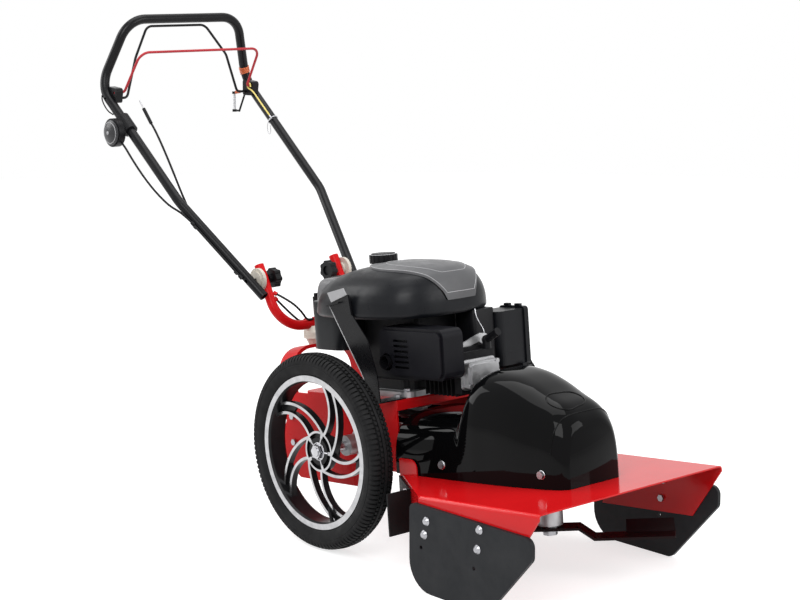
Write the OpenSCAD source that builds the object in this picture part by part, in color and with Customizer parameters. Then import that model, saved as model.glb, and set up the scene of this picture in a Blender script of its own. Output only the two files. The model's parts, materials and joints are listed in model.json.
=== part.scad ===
// Wheeled trimmer: cast wheels, a pitched chassis with a vertical shaft engine, a belt driven cutter
// under a wide deck, skids under the nose, and a handlebar on a swivelling yoke.
// X points forward, Y left, Z up; the ground is Z = 0. The chassis frame starts at the middle of the axle
// and is pitched nose-up about it.

/* [Overall] */
// Nose-up pitch of the chassis about the axle, in degrees
chassis_pitch = 5.8; // [4:0.1:7]

/* [Wheels] */
// Outer radius of the tyre
wheel_r = 207; // [200:1:215]
// Width of the tyre
tyre_w = 57; // [48:1:62]
// Radius of the rim where the tyre seats
rim_r = 158; // [150:1:164]
// Width of the rim
rim_w = 46; // [40:1:48]
// Radial thickness of the rim ring
rim_t = 11; // [8:1:16]
// Distance between the middle planes of the two wheels
track = 460; // [450:2:480]
// Radius of the hub plate
hub_r = 43; // [38:1:50]
// Radius of the hub barrel
barrel_r = 29; // [26:0.5:32]
// Distance of the outer hub face from the middle plane of the wheel
hub_face = 3; // [1:1:8]
// Number of swirl spokes
spoke_count = 5; // [4:1:6]
// Width of one rib of a spoke
rib_w = 6; // [4:0.5:8]
// Radius of the axle
axle_r = 10; // [8:0.5:11]
// Outer radius of the axle housings
housing_r = 21.5; // [18:0.5:25]

/* [Bearings] */
// Outer radius of the ball bearings
bearing_r = 21; // [19:0.5:22]
// Width of the ball bearings
bearing_w = 12; // [10:0.5:14]

/* [Chassis] */
// Outside width across the side plates
chassis_w = 224; // [216:1:230]
// Front end of the side plates, ahead of the axle
plate_front = 112; // [106:1:116]
// Rear end of the side plates, behind the axle
plate_rear = 290; // [285:1:300]
// Top edge of the side plates above the axle
plate_top = 91; // [86:1:96]
// Bottom edge of the side plates below the axle
plate_drop = 100; // [95:1:105]
// Rear end of the engine platform, behind the axle
platform_rear = 195; // [180:1:205]
// Outside height of the handle arch above the axle
arch_top = 186; // [176:1:196]
// Thickness of the arch bar
arch_t = 8; // [6:0.5:10]
// Width of the arch bar
arch_w = 50; // [40:1:60]
// Distance of the arch bolts behind the axle
arch_x = 240; // [234:1:246]
// Backward lean of the arch, in degrees
arch_lean = 8.6; // [5:0.1:10]

/* [Deck] */
// Width of the cutter deck
deck_w = 524; // [520:1:540]
// Front edge of the deck, ahead of the axle
deck_front = 658; // [650:1:690]
// Rear end of the straight side flanges, ahead of the axle
deck_side = 332; // [326:1:336]
// Depth of the deck's top face below the axle
deck_drop = 53; // [50:0.5:56]
// Height of the side flanges
flange_h = 112; // [105:1:118]
// Height of the diagonal rear walls
wall_h = 98; // [90:1:105]
// Height of the rear flaps
flap_h = 86; // [70:1:90]

/* [Skids] */
// Thickness of the skids
skid_t = 8; // [6:0.5:10]
// Rear edge of the skids, ahead of the axle
skid_rear = 319; // [314:1:322]
// Front edge of the skids, ahead of the axle
skid_front = 653; // [645:1:660]
// Height of the skids
skid_h = 174; // [168:1:178]
// Angle between the skid bolt holes, seen from the axle, in degrees
hole_step = 4.4; // [4:0.1:4.6]
// Distance of the rear bolt holes from the axle
rear_hole_r = 372; // [368:1:378]
// Distance of the front bolt holes from the axle
front_hole_r = 516; // [506:1:526]

/* [Belt cover] */
// Half width of the belt cover at its rear end
cover_half = 130; // [126:1:134]
// Half width of the belt cover near its front end
cover_nose_half = 92; // [86:1:98]
// Front end of the belt cover, ahead of the axle
cover_front = 556; // [550:1:566]
// Height of the low rear part above the axle
cover_low = 68; // [64:1:70]
// Height of the dome above the axle
cover_dome = 164; // [158:1:170]
// Wall of the belt cover
cover_wall = 4; // [3:0.5:5]

/* [Cutter] */
// Distance of the spindle ahead of the axle
spindle_x = 427; // [422:1:434]
// Radius of the cutting circle
blade_r = 248; // [235:1:252]
// Width of the blade
blade_w = 56; // [46:1:64]
// Thickness of the blade
blade_t = 5; // [4:0.5:6]
// Angle of the blade at rest from the forward direction, in degrees
blade_angle = 40; // [0:1:90]
// Drop of the blade's outer flats below its middle
blade_crank = 22; // [16:1:26]
// Height of the wings at the blade's ends
wing_h = 26; // [18:1:30]
// Depth of the blade's mounting face below the axle
blade_drop = 153; // [150:0.5:156]
// Outer radius of the spindle housing
spindle_body_r = 27; // [25:0.5:30]

/* [Belt drive] */
// Distance of the crankshaft ahead of the axle
crank_x = 40; // [34:1:44]
// Radius of the crankshaft
crank_r = 11; // [9:0.5:12.5]
// Inner radius of the cutter belt on the drive pulley
drive_belt_r = 30; // [26:1:34]
// Inner radius of the cutter belt on the spindle pulley
spindle_belt_r = 57; // [50:1:62]
// Radial thickness of the belts
belt_t = 7; // [5:0.5:8]
// Width of the belts
belt_w = 10; // [8:0.5:11]
// Height of the cutter belt's middle above the axle
cutter_belt_z = 56; // [54:0.5:57]
// Height of the traction belt's middle above the axle
traction_belt_z = 36; // [34:0.5:37]
// Distance of the gearbox shaft behind the axle
gearbox_shaft_x = 62; // [58:1:70]
// Radius of the idler pulley
idler_r = 22; // [18:0.5:24]

/* [Engine] */
// Height of the lower edge of the shroud above the platform
shroud_low = 172; // [166:1:178]
// Height of the top of the shroud above the platform
shroud_top = 277; // [268:1:284]
// Half length of the shroud
shroud_a = 178; // [172:1:184]
// Half width of the shroud
shroud_b = 152; // [146:1:158]
// Distance of the shroud's middle behind the crankshaft
shroud_back = 20; // [14:1:26]
// Radius of the fuel cap
cap_r = 31; // [26:0.5:34]
// Number of cooling fins on the cylinder
fin_count = 8; // [5:1:9]
// Front face of the rocker cover, ahead of the crankshaft
rocker_front = 240; // [232:1:242]
// Width of the rocker cover
rocker_w = 95; // [85:1:98]
// Height of the rocker cover
rocker_h = 62; // [54:1:66]
// Length of the muffler guard
guard_len = 196; // [180:1:200]
// Height of the muffler guard
guard_h = 104; // [96:1:110]
// Depth of the muffler guard across the engine
guard_d = 60; // [54:1:61]
// Outer face of the muffler guard, to the right of the crankshaft
guard_out = 121; // [120:1:124]
// Radius of the exhaust pipe
pipe_r = 15; // [12:0.5:17]
// Length of the air cleaner case along the chassis
cleaner_len = 68; // [58:1:76]
// Height of the air cleaner case
cleaner_h = 116; // [106:1:122]
// Depth of the air cleaner case across the engine
cleaner_d = 73; // [64:1:80]

/* [Handle] */
// Radius of the yoke tube
yoke_r = 11; // [9:0.5:12]
// Half width of the yoke between its tube middles
yoke_half = 108; // [102:1:110]
// Bend radius of the yoke tube
yoke_bend = 64; // [50:1:75]
// Backward lean of the yoke, in degrees
yoke_lean = 29; // [24:0.5:32]
// Length along the yoke from its crossbar to the tilt axis
yoke_reach = 119; // [112:1:126]
// Radius of the handlebar tube
bar_r = 11; // [9:0.5:12]
// Height of the crossbar above the tilt axis
bar_rise = 565; // [540:1:590]
// Distance of the crossbar behind the tilt axis
bar_back = 439; // [420:1:460]
// Half width of the crossbar at its corners
bar_top_half = 158; // [145:1:170]
// Half width of the legs at their widest
bar_half = 212; // [206:1:220]
// Half width of the legs at the tilt axis
bar_low_half = 147; // [144.5:0.5:152]
// Radius of the pivot discs
disc_r = 26; // [22:0.5:30]
// Radius of the star knobs
knob_r = 23; // [19:0.5:26]
// Thickness of the star knobs
knob_t = 24; // [18:0.5:28]
// Radius of the swivel castings
swivel_r = 34; // [30:0.5:38]

/* [Controls] */
// Half width of the red bail
red_half = 172; // [165:1:178]
// Half width of the black bail
black_half = 92; // [84:1:100]
// Radius of the throttle control
throttle_r = 33; // [28:0.5:36]
// Mean radius of the return spring's coil
spring_r = 3.4; // [3:0.2:4.4]
// Number of turns in the return spring
spring_turns = 14; // [8:1:16]

/* [Fits] */
// Radial clearance of a running fit
run_fit = 0.05; // [0.03:0.01:0.09]
// Radial clearance of a fixed fit
seat_fit = 0.02; // [0.01:0.01:0.05]
// Clearance between neighbours that don't touch
gap = 0.4; // [0.3:0.1:0.6]

/* [Hidden] */
$fn = 48;

right = -1;
left = 1;

// Colours
red_paint = [0.72, 0.04, 0.05];
black_paint = [0.08, 0.08, 0.09];
gloss_black = [0.03, 0.03, 0.04];
skid_grey = [0.20, 0.21, 0.22];
rubber_black = [0.11, 0.11, 0.12];
cast_silver = [0.70, 0.70, 0.69];
bright_steel = [0.80, 0.80, 0.82];
cream_cast = [0.80, 0.77, 0.70];
shroud_black = [0.13, 0.14, 0.15];
panel_grey = [0.32, 0.32, 0.34];
belt_black = [0.10, 0.09, 0.09];
red_bail_paint = [0.75, 0.12, 0.12];

// Small sizes
rim_lip = 4;
hub_back = 28;
rib_d = 15;
housing_len = 53;
lip_h = 16;
arch_bend = 62;
deck_bend = 8;
flap_t = 4;
skid_bolt_r = 4;
spindle_flange_r = 58;
sump_h = 34;
panel_t = 3;
cap_h = 21;
guard_t = 3;
cleaner_lid = 17;
stud_r = 4;
yoke_tip = 34;
disc_t = 11;
platform_t = 5;
base_t = 12;
cover_nose = 72;
idler_gap = 6;
spring_wire = 0.6;
traction_small_r = 22;
traction_large_r = 40;
idler_arm_len = 70;
bail_r = 3;
cable_r = 2.5;
deck_t = 3;
plate_t = 4;
washer_t = 2;
nut_h = 10;
bolt_r = 4;
bolt_head_r = 7.5;
bolt_head_h = 5.5;
hex = 6;
far = 800;
tube_wall = 2;
collar_half = 0.6;
collar_rise = 0.12;

// Heights in the chassis frame
platform_top = plate_top + platform_t;
deck_top = -deck_drop;
deck_bottom = deck_top - deck_t;
platform_front = plate_front + platform_t;
arch_in_half = chassis_w / 2 - plate_t;

// Angles of the skid's bolt holes below the axle, the highest hole of each column
rear_hole_angle = -9.6;
front_hole_angle = -5.1;
skid_holes = [0, 1, 2];
skid_bolts_used = [0, 1];

// Swivel stack on the arch
swivel_base_h = 20;
swivel_head_h = 15;
swivel_x = -arch_x - sin(arch_lean) * arch_top;
swivel_z = cos(arch_lean) * arch_top;
yoke_z = swivel_z + swivel_base_h + gap + swivel_head_h + yoke_r;

// Place of a chassis point in the ground frame, measured from the axle
function ground_x(x, z) = x * cos(chassis_pitch) - z * sin(chassis_pitch);
function ground_z(x, z) = wheel_r + x * sin(chassis_pitch) + z * cos(chassis_pitch);

// Yoke crossbar and tilt axis, measured from the axle
yoke_gx = ground_x(swivel_x, yoke_z);
yoke_gz = ground_z(swivel_x, yoke_z);
tilt_gx = yoke_gx - yoke_reach * sin(yoke_lean);
tilt_gz = yoke_gz + yoke_reach * cos(yoke_lean);

// Corners of the right half of the handlebar, measured from the tilt axis
bar_end = [36, right * (bar_low_half - 12), -32];
bar_kink = [-182, right * (bar_half - 7), 164];
bar_bend = [-bar_back - 42, right * bar_half, bar_rise - 156];
bar_top = [-bar_back, right * bar_top_half, bar_rise];
bar_half_path = [bar_end, bar_kink, bar_bend, bar_top];
bar_path = [each bar_half_path, for (k = [3:-1:0]) flip(bar_half_path[k])];
bar_bends = [110, 66, 64, 64, 66, 110];

// Bail pivot above the leg, from the tilt axis
bail_lift = 28.15;
bail_x = 7 - bar_back;
bail_share = (bail_x - bar_kink.x) / (bar_bend.x - bar_kink.x);
bail_z = lerp(bar_kink.z, bar_bend.z, bail_share) + bail_lift;
lug_t = 5;
lug_half = bar_half - bar_r - 10;
lug_out = lug_half + 3 * lug_t;

// Reach in front of and behind the axle, which sets the origin at mid-length
front_reach = ground_x(deck_front, deck_top - deck_bend - deck_t);
back_centre = bend_centre(bar_kink, bar_bend, bar_top, bar_bends[1]);
back_normal = unit(cross(bar_kink - bar_bend, bar_top - bar_bend));
rear_reach = tilt_gx + back_centre.x - bar_bends[1] * sqrt(1 - back_normal.x * back_normal.x) - bar_r;
axle_x = -(front_reach + rear_reach) / 2;

// Vectors and outlines

function unit(v) = v / norm(v);
function flip(p) = [p.x, -p.y, p.z];
function lerp(a, b, t) = a + (b - a) * t;
function turn(a0, a1) = (a1 - a0 + 540) % 360 - 180;
function bend_half(p, q, s) = acos(unit(p - q) * unit(s - q)) / 2;
function bend_cut(p, q, s, r) = r / tan(bend_half(p, q, s));
function bend_centre(p, q, s, r) = q + unit(unit(p - q) + unit(s - q)) * r / sin(bend_half(p, q, s));
function arc_points(c, r, a0, sweep, steps) =
 [for (k = [0:steps]) c + r * [cos(a0 + sweep * k / steps), sin(a0 + sweep * k / steps)]];
function corner_points(p, q, s, r, steps) =
 r == 0 ? [q] :
 let (
  c = bend_centre(p, q, s, r),
  from = q + unit(p - q) * bend_cut(p, q, s, r) - c,
  to = q + unit(s - q) * bend_cut(p, q, s, r) - c,
  a0 = atan2(from.y, from.x)
 )
 arc_points(c, r, a0, turn(a0, atan2(to.y, to.x)), steps);

// Closed outline through corners, each given as [x, y, corner radius]
function rounded(corners, steps = 6) =
 let (n = len(corners), at = [for (c = corners) [c.x, c.y]])
 [for (i = [0:n - 1]) each corner_points(at[(i + n - 1) % n], at[i], at[(i + 1) % n], corners[i].z, steps)];

function rounded_rect(w, h, r) =
 rounded([for (c = [[-1, -1], [1, -1], [1, 1], [-1, 1]]) [c.x * w / 2, c.y * h / 2, r]]);

// Ring of a rounded block: a superellipse of the given half sizes
function superellipse(a, b, power, count) =
 [for (k = [0:count - 1])
  let (c = cos(360 * k / count), s = sin(360 * k / count))
  [a * sign(c) * pow(abs(c), 2 / power), b * sign(s) * pow(abs(s), 2 / power)]];

// Frames

module in_chassis() {
 translate([axle_x, 0, wheel_r]) rotate([0, -chassis_pitch, 0]) children();
}

module in_engine() {
 in_chassis() translate([crank_x, 0, platform_top]) children();
}

module at_wheel(side) {
 translate([axle_x, side * track / 2, wheel_r]) rotate([90, 0, side == right ? 0 : 180]) children();
}

module at_yoke() {
 translate([axle_x + yoke_gx, 0, yoke_gz]) children();
}

module at_tilt() {
 translate([axle_x + tilt_gx, 0, tilt_gz]) children();
}

module both_sides() {
 for (side = [right, left])
  scale_side(side) children();
}

// Copies of the children evenly round the Z axis
module around(count, from = 0) {
 for (k = [0:count - 1])
  rotate([0, 0, from + 360 / count * k]) children();
}

module scale_side(side) {
 if (side == right)
  children();
 else
  mirror([0, 1, 0]) children();
}

// Shapes that repeat

module up(z) {
 translate([0, 0, z]) children();
}

// Round bar across the object
module cross_bar(h, r) {
 rotate([90, 0, 0]) cylinder(h = h, r = r, center = true);
}

// Upright extrusion standing in the XZ plane, from y0 to y0 + t
module side_extrude(y0, t) {
 translate([0, y0 + t, 0]) rotate([90, 0, 0]) linear_extrude(t) children();
}

// Straight bar between two points, or a tube if it has a bore
module rod_between(a, b, r, bore = 0) {
  d = b - a;
  translate(a) rotate([0, acos(d.z / norm(d)), atan2(d.y, d.x)]) difference() {
    cylinder(h = norm(d), r = r);
    if (bore > 0)
      up(-1) cylinder(h = norm(d) + 2, r = bore);
  }
}

module tube_bend(p, q, s, r, tube_r, bore) {
  c = bend_centre(p, q, s, r);
  ex = (q + unit(p - q) * bend_cut(p, q, s, r) - c) / r;
  ey = unit(q - p);
  ez = cross(ex, ey);
  multmatrix([
    [ex.x, ey.x, ez.x, c.x],
    [ex.y, ey.y, ez.y, c.y],
    [ex.z, ey.z, ez.z, c.z]
  ])
    rotate_extrude(angle = 180 - 2 * bend_half(p, q, s)) translate([r, 0]) difference() {
      circle(tube_r);
      if (bore > 0)
        circle(bore);
    }
}

// Round bar or tube along a path of corners, with a bend radius at each inner corner
module bent_tube(path, bends, tube_r, bore = 0) {
  last = len(path) - 1;
  for (i = [0:last - 1]) {
    a = path[i];
    b = path[i + 1];
    cut_a = i == 0 ? 0 : bend_cut(path[i - 1], a, b, bends[i - 1]);
    cut_b = i == last - 1 ? 0 : bend_cut(a, b, path[i + 2], bends[i]);
    rod_between(a + unit(b - a) * cut_a, b - unit(b - a) * cut_b, tube_r, bore);
  }
  for (i = [1:last - 1]) {
    p = path[i - 1];
    q = path[i];
    s = path[i + 1];
    cut = bend_cut(p, q, s, bends[i - 1]);
    tube_bend(p, q, s, bends[i - 1], tube_r, bore);
    weld_collar(q + unit(p - q) * cut, unit(p - q), tube_r, bore);
    weld_collar(q + unit(s - q) * cut, unit(s - q), tube_r, bore);
  }
}

// Thin collar where a straight length meets a bend
module weld_collar(at, way, tube_r, bore) {
  a = at - way * collar_half;
  rod_between(a, at + way * collar_half, tube_r + collar_rise, bore > 0 ? bore - collar_rise : 0);
}

// Closed skin through rings of equally many points, capped at both ends
module skin(rings) {
 n = len(rings[0]);
 m = len(rings);
 points = [for (ring = rings) each ring];
 walls = [for (i = [0:m - 2], j = [0:n - 1])
  let (k = (j + 1) % n)
  each [[i * n + j, (i + 1) * n + k, i * n + k], [i * n + j, (i + 1) * n + j, (i + 1) * n + k]]];
 bottom = [for (j = [1:n - 2]) [0, j, j + 1]];
 top = [for (j = [1:n - 2]) [(m - 1) * n, (m - 1) * n + j + 1, (m - 1) * n + j]];
 polyhedron(points, concat(walls, bottom, top));
}

// Direction of a route at one of its points
function route_way(route, i) =
 unit(route[min(i + 1, len(route) - 1)] - route[max(i - 1, 0)]);

// Rings of a round tube swept along a route; the side vector must not lie along the route
function tube_rings(route, r, sides, side_vector) =
 [for (i = [0:len(route) - 1])
  let (
   way = route_way(route, i),
   u = unit(cross(side_vector, way)),
   v = cross(way, u)
  )
  [for (k = [0:sides - 1]) route[i] + r * (cos(360 * k / sides) * u + sin(360 * k / sides) * v)]];

module hex_bolt(length, r = bolt_r, head_r = bolt_head_r, head_h = bolt_head_h) {
 cylinder(h = head_h, r = head_r, $fn = hex);
 up(-length) cylinder(h = length, r = r - seat_fit);
}

module nut(r = bolt_r, nut_r = bolt_head_r, h = bolt_head_h) {
 difference() {
  cylinder(h = h, r = nut_r, $fn = hex);
  up(-1) cylinder(h = h + 2, r = r);
 }
}

module ring(h, bore_r, r) {
 difference() {
  cylinder(h = h, r = r);
  up(-1) cylinder(h = h + 2, r = bore_r);
 }
}

belt_steps = 24;

// Outline of a belt round two pulleys, in plan, at a given distance outside them
function belt_line(r1, r2, span, grow) =
 let (lean = asin((r1 - r2) / span))
 concat(
  arc_points([0, 0], r1 + grow, 90 - lean, 180 + 2 * lean, belt_steps),
  arc_points([span, 0], r2 + grow, lean - 90, 180 - 2 * lean, belt_steps)
 );

module belt_loop(r1, r2, span) {
 linear_extrude(belt_w, center = true) difference() {
  polygon(belt_line(r1, r2, span, belt_t));
  polygon(belt_line(r1, r2, span, 0));
 }
}

// Grooved pulley whose belt has the given inner radius; the groove's middle is at z = 0
module pulley_ring(belt_r, bore_r, rim = 3) {
 half = belt_w / 2 + gap;
 edge = belt_r + belt_t + 2;
 rotate_extrude() polygon([
  [bore_r, -half - rim], [edge, -half - rim], [edge, -half - 1], [belt_r - gap, -half],
  [belt_r - gap, half], [edge, half + 1], [edge, half + rim], [bore_r, half + rim]
 ]);
}

// Wheels

tyre_shoulder = 15;
tyre_crown = 3;
bead_half = rim_w / 2 - 5 - gap;

module tyre() {
 half = tyre_w / 2;
 foot = rim_r + rim_lip + gap;
 side = rounded([
  [rim_r + seat_fit, 0, 0], [rim_r + seat_fit, bead_half, 0], [foot, bead_half, 0], [foot + 2, half - 4, 0],
  [foot + 14, half, 8], [wheel_r - tyre_crown, half, tyre_shoulder], [wheel_r, 0, 0]
 ]);
 back = [for (k = [len(side) - 2:-1:1]) [side[k].x, -side[k].y]];
 rotate_extrude($fn = 96) polygon(concat(side, back));
}

module rim_ring() {
 half = rim_w / 2;
 lip = rim_r + rim_lip;
 inner = rim_r - rim_t;
 rotate_extrude($fn = 96) polygon([
  [inner, -half + 5], [inner, half - 5], [inner + 3, half], [lip, half], [lip, half - 4],
  [rim_r, half - 5], [rim_r - 6, 8], [rim_r - 6, -8], [rim_r, -half + 5], [lip, -half + 4],
  [lip, -half], [inner + 3, -half]
 ]);
}

spoke_hub_angles = [66, 0];
spoke_rim_angles = [87, 75];
spoke_bows = [22.5, 21.5];
spoke_in = hub_r - 2;
spoke_out = rim_r - rim_t + 1;
spoke_web_in = 112;
spoke_web_t = 6;

// Circle that a spoke's rib follows, as [x, y, radius]
function rib_circle(k) =
 let (
  from = spoke_in * [cos(spoke_hub_angles[k]), sin(spoke_hub_angles[k])],
  to = spoke_out * [cos(spoke_rim_angles[k]), sin(spoke_rim_angles[k])],
  chord = norm(to - from),
  r = chord * chord / (8 * spoke_bows[k]) + spoke_bows[k] / 2,
  c = (from + to) / 2 + [(to - from).y, -(to - from).x] / chord * (spoke_bows[k] - r)
 )
 [c.x, c.y, r];

module rib_disc(k, grow) {
 c = rib_circle(k);
 translate([c.x, c.y]) circle(c.z + grow, $fn = 96);
}

module spoke_zone(inner) {
 difference() {
  circle(spoke_out, $fn = 96);
  circle(inner, $fn = 96);
 }
}

module spoke_rib(k) {
 c = rib_circle(k);
 intersection() {
  difference() {
   rib_disc(k, rib_w / 2);
   rib_disc(k, -rib_w / 2);
  }
  spoke_zone(spoke_in);
  rotate(atan2(c.y, c.x)) translate([-far / 2, -far]) square(far);
 }
}

// Thin web between the two ribs of a spoke, next to the rim
module spoke_web() {
 intersection() {
  difference() {
   rib_disc(1, 0);
   rib_disc(0, 0);
  }
  spoke_zone(spoke_web_in);
  rotate(30) square(far);
 }
}

module spider_plan() {
 circle(hub_r);
 around(spoke_count) for (rib = [0, 1]) spoke_rib(rib);
}

spider_face = hub_face + 4;
hub_recess_r = bearing_r + 4.5;
pocket_in = 28.5;
pocket_wall = 4.5;
pocket_d = 8;
pocket_angle = 60;

// Cast wheel: outer ring, hub with its pockets, and the curved spokes
module rim() {
 difference() {
  union() {
   rim_ring();
   up(spider_face - rib_d) linear_extrude(rib_d) spider_plan();
   up(spider_face - rib_d + 2) linear_extrude(spoke_web_t)
    around(spoke_count) spoke_web();
   up(-hub_back) cylinder(h = hub_back, r = barrel_r);
  }
  up(-hub_back - 1) cylinder(h = hub_back + spider_face + 2, r = bearing_r + run_fit);
  up(hub_face) cylinder(h = rib_d, r = hub_recess_r);
  around(spoke_count, 8) up(spider_face - pocket_d)
    rotate_extrude(angle = pocket_angle) translate([pocket_in, 0])
     square([hub_r - pocket_wall - pocket_in, pocket_d + 1]);
 }
}

module right_tyre() { color(rubber_black) at_wheel(right) tyre(); }
module left_tyre() { color(rubber_black) at_wheel(left) tyre(); }
module right_rim() { color(cast_silver) at_wheel(right) rim(); }
module left_rim() { color(cast_silver) at_wheel(left) rim(); }

// Axle and wheel bearings

axle_nut_r = 15;
axle_washer_r = bearing_r + 3;
nut_face = hub_face + gap;
axle_half = track / 2 + nut_face + washer_t + nut_h + 2;

module axle() {
 color(bright_steel) in_chassis() cross_bar(2 * axle_half, axle_r);
}

module axle_nuts() {
 color(bright_steel) for (side = [right, left]) at_wheel(side) up(nut_face)
  difference() {
   union() {
    cylinder(h = washer_t, r = axle_washer_r);
    up(washer_t) cylinder(h = nut_h, r = axle_nut_r, $fn = hex);
   }
   up(-1) cylinder(h = washer_t + nut_h + 2, r = axle_r + seat_fit);
  }
}

housing_flange_r = 34;
housing_flange_t = 6;

module axle_housings() {
 color(cast_silver) in_chassis() both_sides() translate([0, -chassis_w / 2, 0]) rotate([90, 0, 0])
  difference() {
   union() {
    cylinder(h = housing_flange_t, r = housing_flange_r);
    cylinder(h = housing_len, r = housing_r);
   }
   up(-1) cylinder(h = housing_len + 2, r = axle_r + seat_fit);
  }
}

race_in = 14;
race_out = 18;
race_d = 1;

module bearing() {
 rotate_extrude() polygon([
  [axle_r + seat_fit, 0], [race_in, 0], [race_in, race_d], [race_out, race_d], [race_out, 0],
  [bearing_r, 0], [bearing_r, bearing_w], [race_out, bearing_w], [race_out, bearing_w - race_d],
  [race_in, bearing_w - race_d], [race_in, bearing_w], [axle_r + seat_fit, bearing_w]
 ]);
}

spindle_low = -blade_drop + gap + 4;
spindle_high = 12;

module bearings() {
 color(bright_steel) {
  for (side = [right, left], z = [hub_face - bearing_w - gap, -hub_back + gap])
   at_wheel(side) up(z) bearing();
  for (z = [spindle_low + gap, spindle_high - bearing_w - gap])
   in_chassis() translate([spindle_x, 0, z]) bearing();
 }
}

// Traction drive

gearbox_half = 38;
gearbox_top = 14;
gearbox_arm_r = 16;
gearbox_shaft_r = 8;
gearbox_neck_r = 18;
gearbox_neck_top = traction_belt_z - belt_w / 2 - 3 - 2 * gap;
gearbox_bore = 24;

module drive_gearbox() {
 color(cast_silver) in_chassis() difference() {
  union() {
   side_extrude(-gearbox_half, 2 * gearbox_half) polygon(rounded([
    [-gearbox_shaft_x - 34, gearbox_top, 10], [34, gearbox_top, 14],
    [34, -40, 18], [-gearbox_shaft_x - 34, -26, 14]
   ]));
   cross_bar(2 * arch_in_half, gearbox_arm_r);
   translate([-gearbox_shaft_x, 0, 0]) cylinder(h = gearbox_neck_top, r = gearbox_neck_r);
  }
  cross_bar(2 * chassis_w, axle_r + seat_fit);
  translate([-gearbox_shaft_x, 0, gearbox_neck_top - gearbox_bore])
   cylinder(h = gearbox_bore + 1, r = gearbox_shaft_r + run_fit);
 }
}

module gearbox_pulley() {
 color(cast_silver) in_chassis() translate([-gearbox_shaft_x, 0, traction_belt_z]) {
  pulley_ring(traction_large_r, gearbox_shaft_r);
  up(gearbox_neck_top - traction_belt_z - gearbox_bore + gap)
   cylinder(h = gearbox_bore + 20, r = gearbox_shaft_r);
 }
}

module traction_belt() {
 color(belt_black) in_chassis() translate([crank_x, 0, traction_belt_z]) rotate([0, 0, 180])
  belt_loop(traction_small_r, traction_large_r, crank_x + gearbox_shaft_x);
}

// Chassis

crank_hole_r = 52;
engine_bolts = [[-80, -66], [-80, 66], [58, -66], [58, 66]];
shield_bolt = [55, -93];
platform_bend = 6;

module engine_platform() {
 half = chassis_w / 2;
 color(red_paint) in_chassis() difference() {
  union() {
   up(plate_top) linear_extrude(platform_t) polygon(rounded([
    [-platform_rear, -half, 20], [platform_front - platform_bend, -half, 0],
    [platform_front - platform_bend, half, 0], [-platform_rear, half, 20]
   ]));
   side_extrude(-half, chassis_w) polygon(concat(
    [[platform_front - platform_bend, plate_top]],
    [[platform_front - platform_t, plate_top - 1]],
    [[platform_front - platform_t, plate_top - lip_h]],
    [[platform_front, plate_top - lip_h]],
    arc_points([platform_front - platform_bend, platform_top - platform_bend],
     platform_bend, 0, 90, 6)
   ));
  }
  translate([crank_x, 0, plate_top - 1]) cylinder(h = platform_t + 2, r = crank_hole_r);
  for (b = concat(engine_bolts, [shield_bolt]))
   translate([crank_x + b.x, b.y, plate_top - 1]) cylinder(h = platform_t + 2, r = bolt_r);
 }
}

plate_seat = 34;
arch_bolt_z = [36, -22];
plate_axle_r = axle_r + 4;

module side_plate(side) {
 color(red_paint) in_chassis() difference() {
  side_extrude(side == right ? -chassis_w / 2 : chassis_w / 2 - plate_t, plate_t) polygon(rounded([
   [plate_front, plate_top, 3], [plate_front, deck_top, 0], [plate_seat, deck_top, 0],
   [plate_seat - 14, -plate_drop, 8], [-plate_rear + 62, -plate_drop, 14],
   [-plate_rear, -42, 14], [-plate_rear + 3, -22, 10], [-plate_rear + 59, plate_top, 12]
  ]));
  cross_bar(2 * chassis_w, plate_axle_r);
  for (z = arch_bolt_z)
   translate([-arch_x, 0, z]) cross_bar(2 * chassis_w, bolt_r);
 }
}

module right_side_plate() { side_plate(right); }
module left_side_plate() { side_plate(left); }

arch_foot = -48;
swivel_pin_r = 9;

module arch_outline(half, top, bend) {
 polygon(rounded([[-half, arch_foot, 0], [half, arch_foot, 0], [half, top, bend], [-half, top, bend]], 10));
}

module handle_arch() {
 half = arch_in_half - seat_fit;
 color(red_paint) in_chassis() difference() {
  translate([-arch_x, 0, 0]) rotate([0, -arch_lean, 0]) translate([-arch_w / 2, 0, 0])
   rotate([90, 0, 90]) linear_extrude(arch_w) difference() {
    arch_outline(half, arch_top, arch_bend);
    translate([0, -1]) arch_outline(half - arch_t, arch_top - arch_t + 1, arch_bend - arch_t);
   }
  for (z = arch_bolt_z)
   translate([-arch_x, 0, z]) cross_bar(2 * chassis_w, bolt_r);
  translate([swivel_x, 0, swivel_z - 2 * arch_t])
   cylinder(h = 3 * arch_t, r = swivel_pin_r + seat_fit);
 }
}

// Bolts of the frame, engine, spindle housing, flaps and belt cover

spindle_bolt_r = 47;
spindle_bolt_count = 4;
spindle_flange_t = 9;
cover_bolt_x = [254, 506];
cover_bolt_z = -24;
flap_bolt_d = 120;

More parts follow.
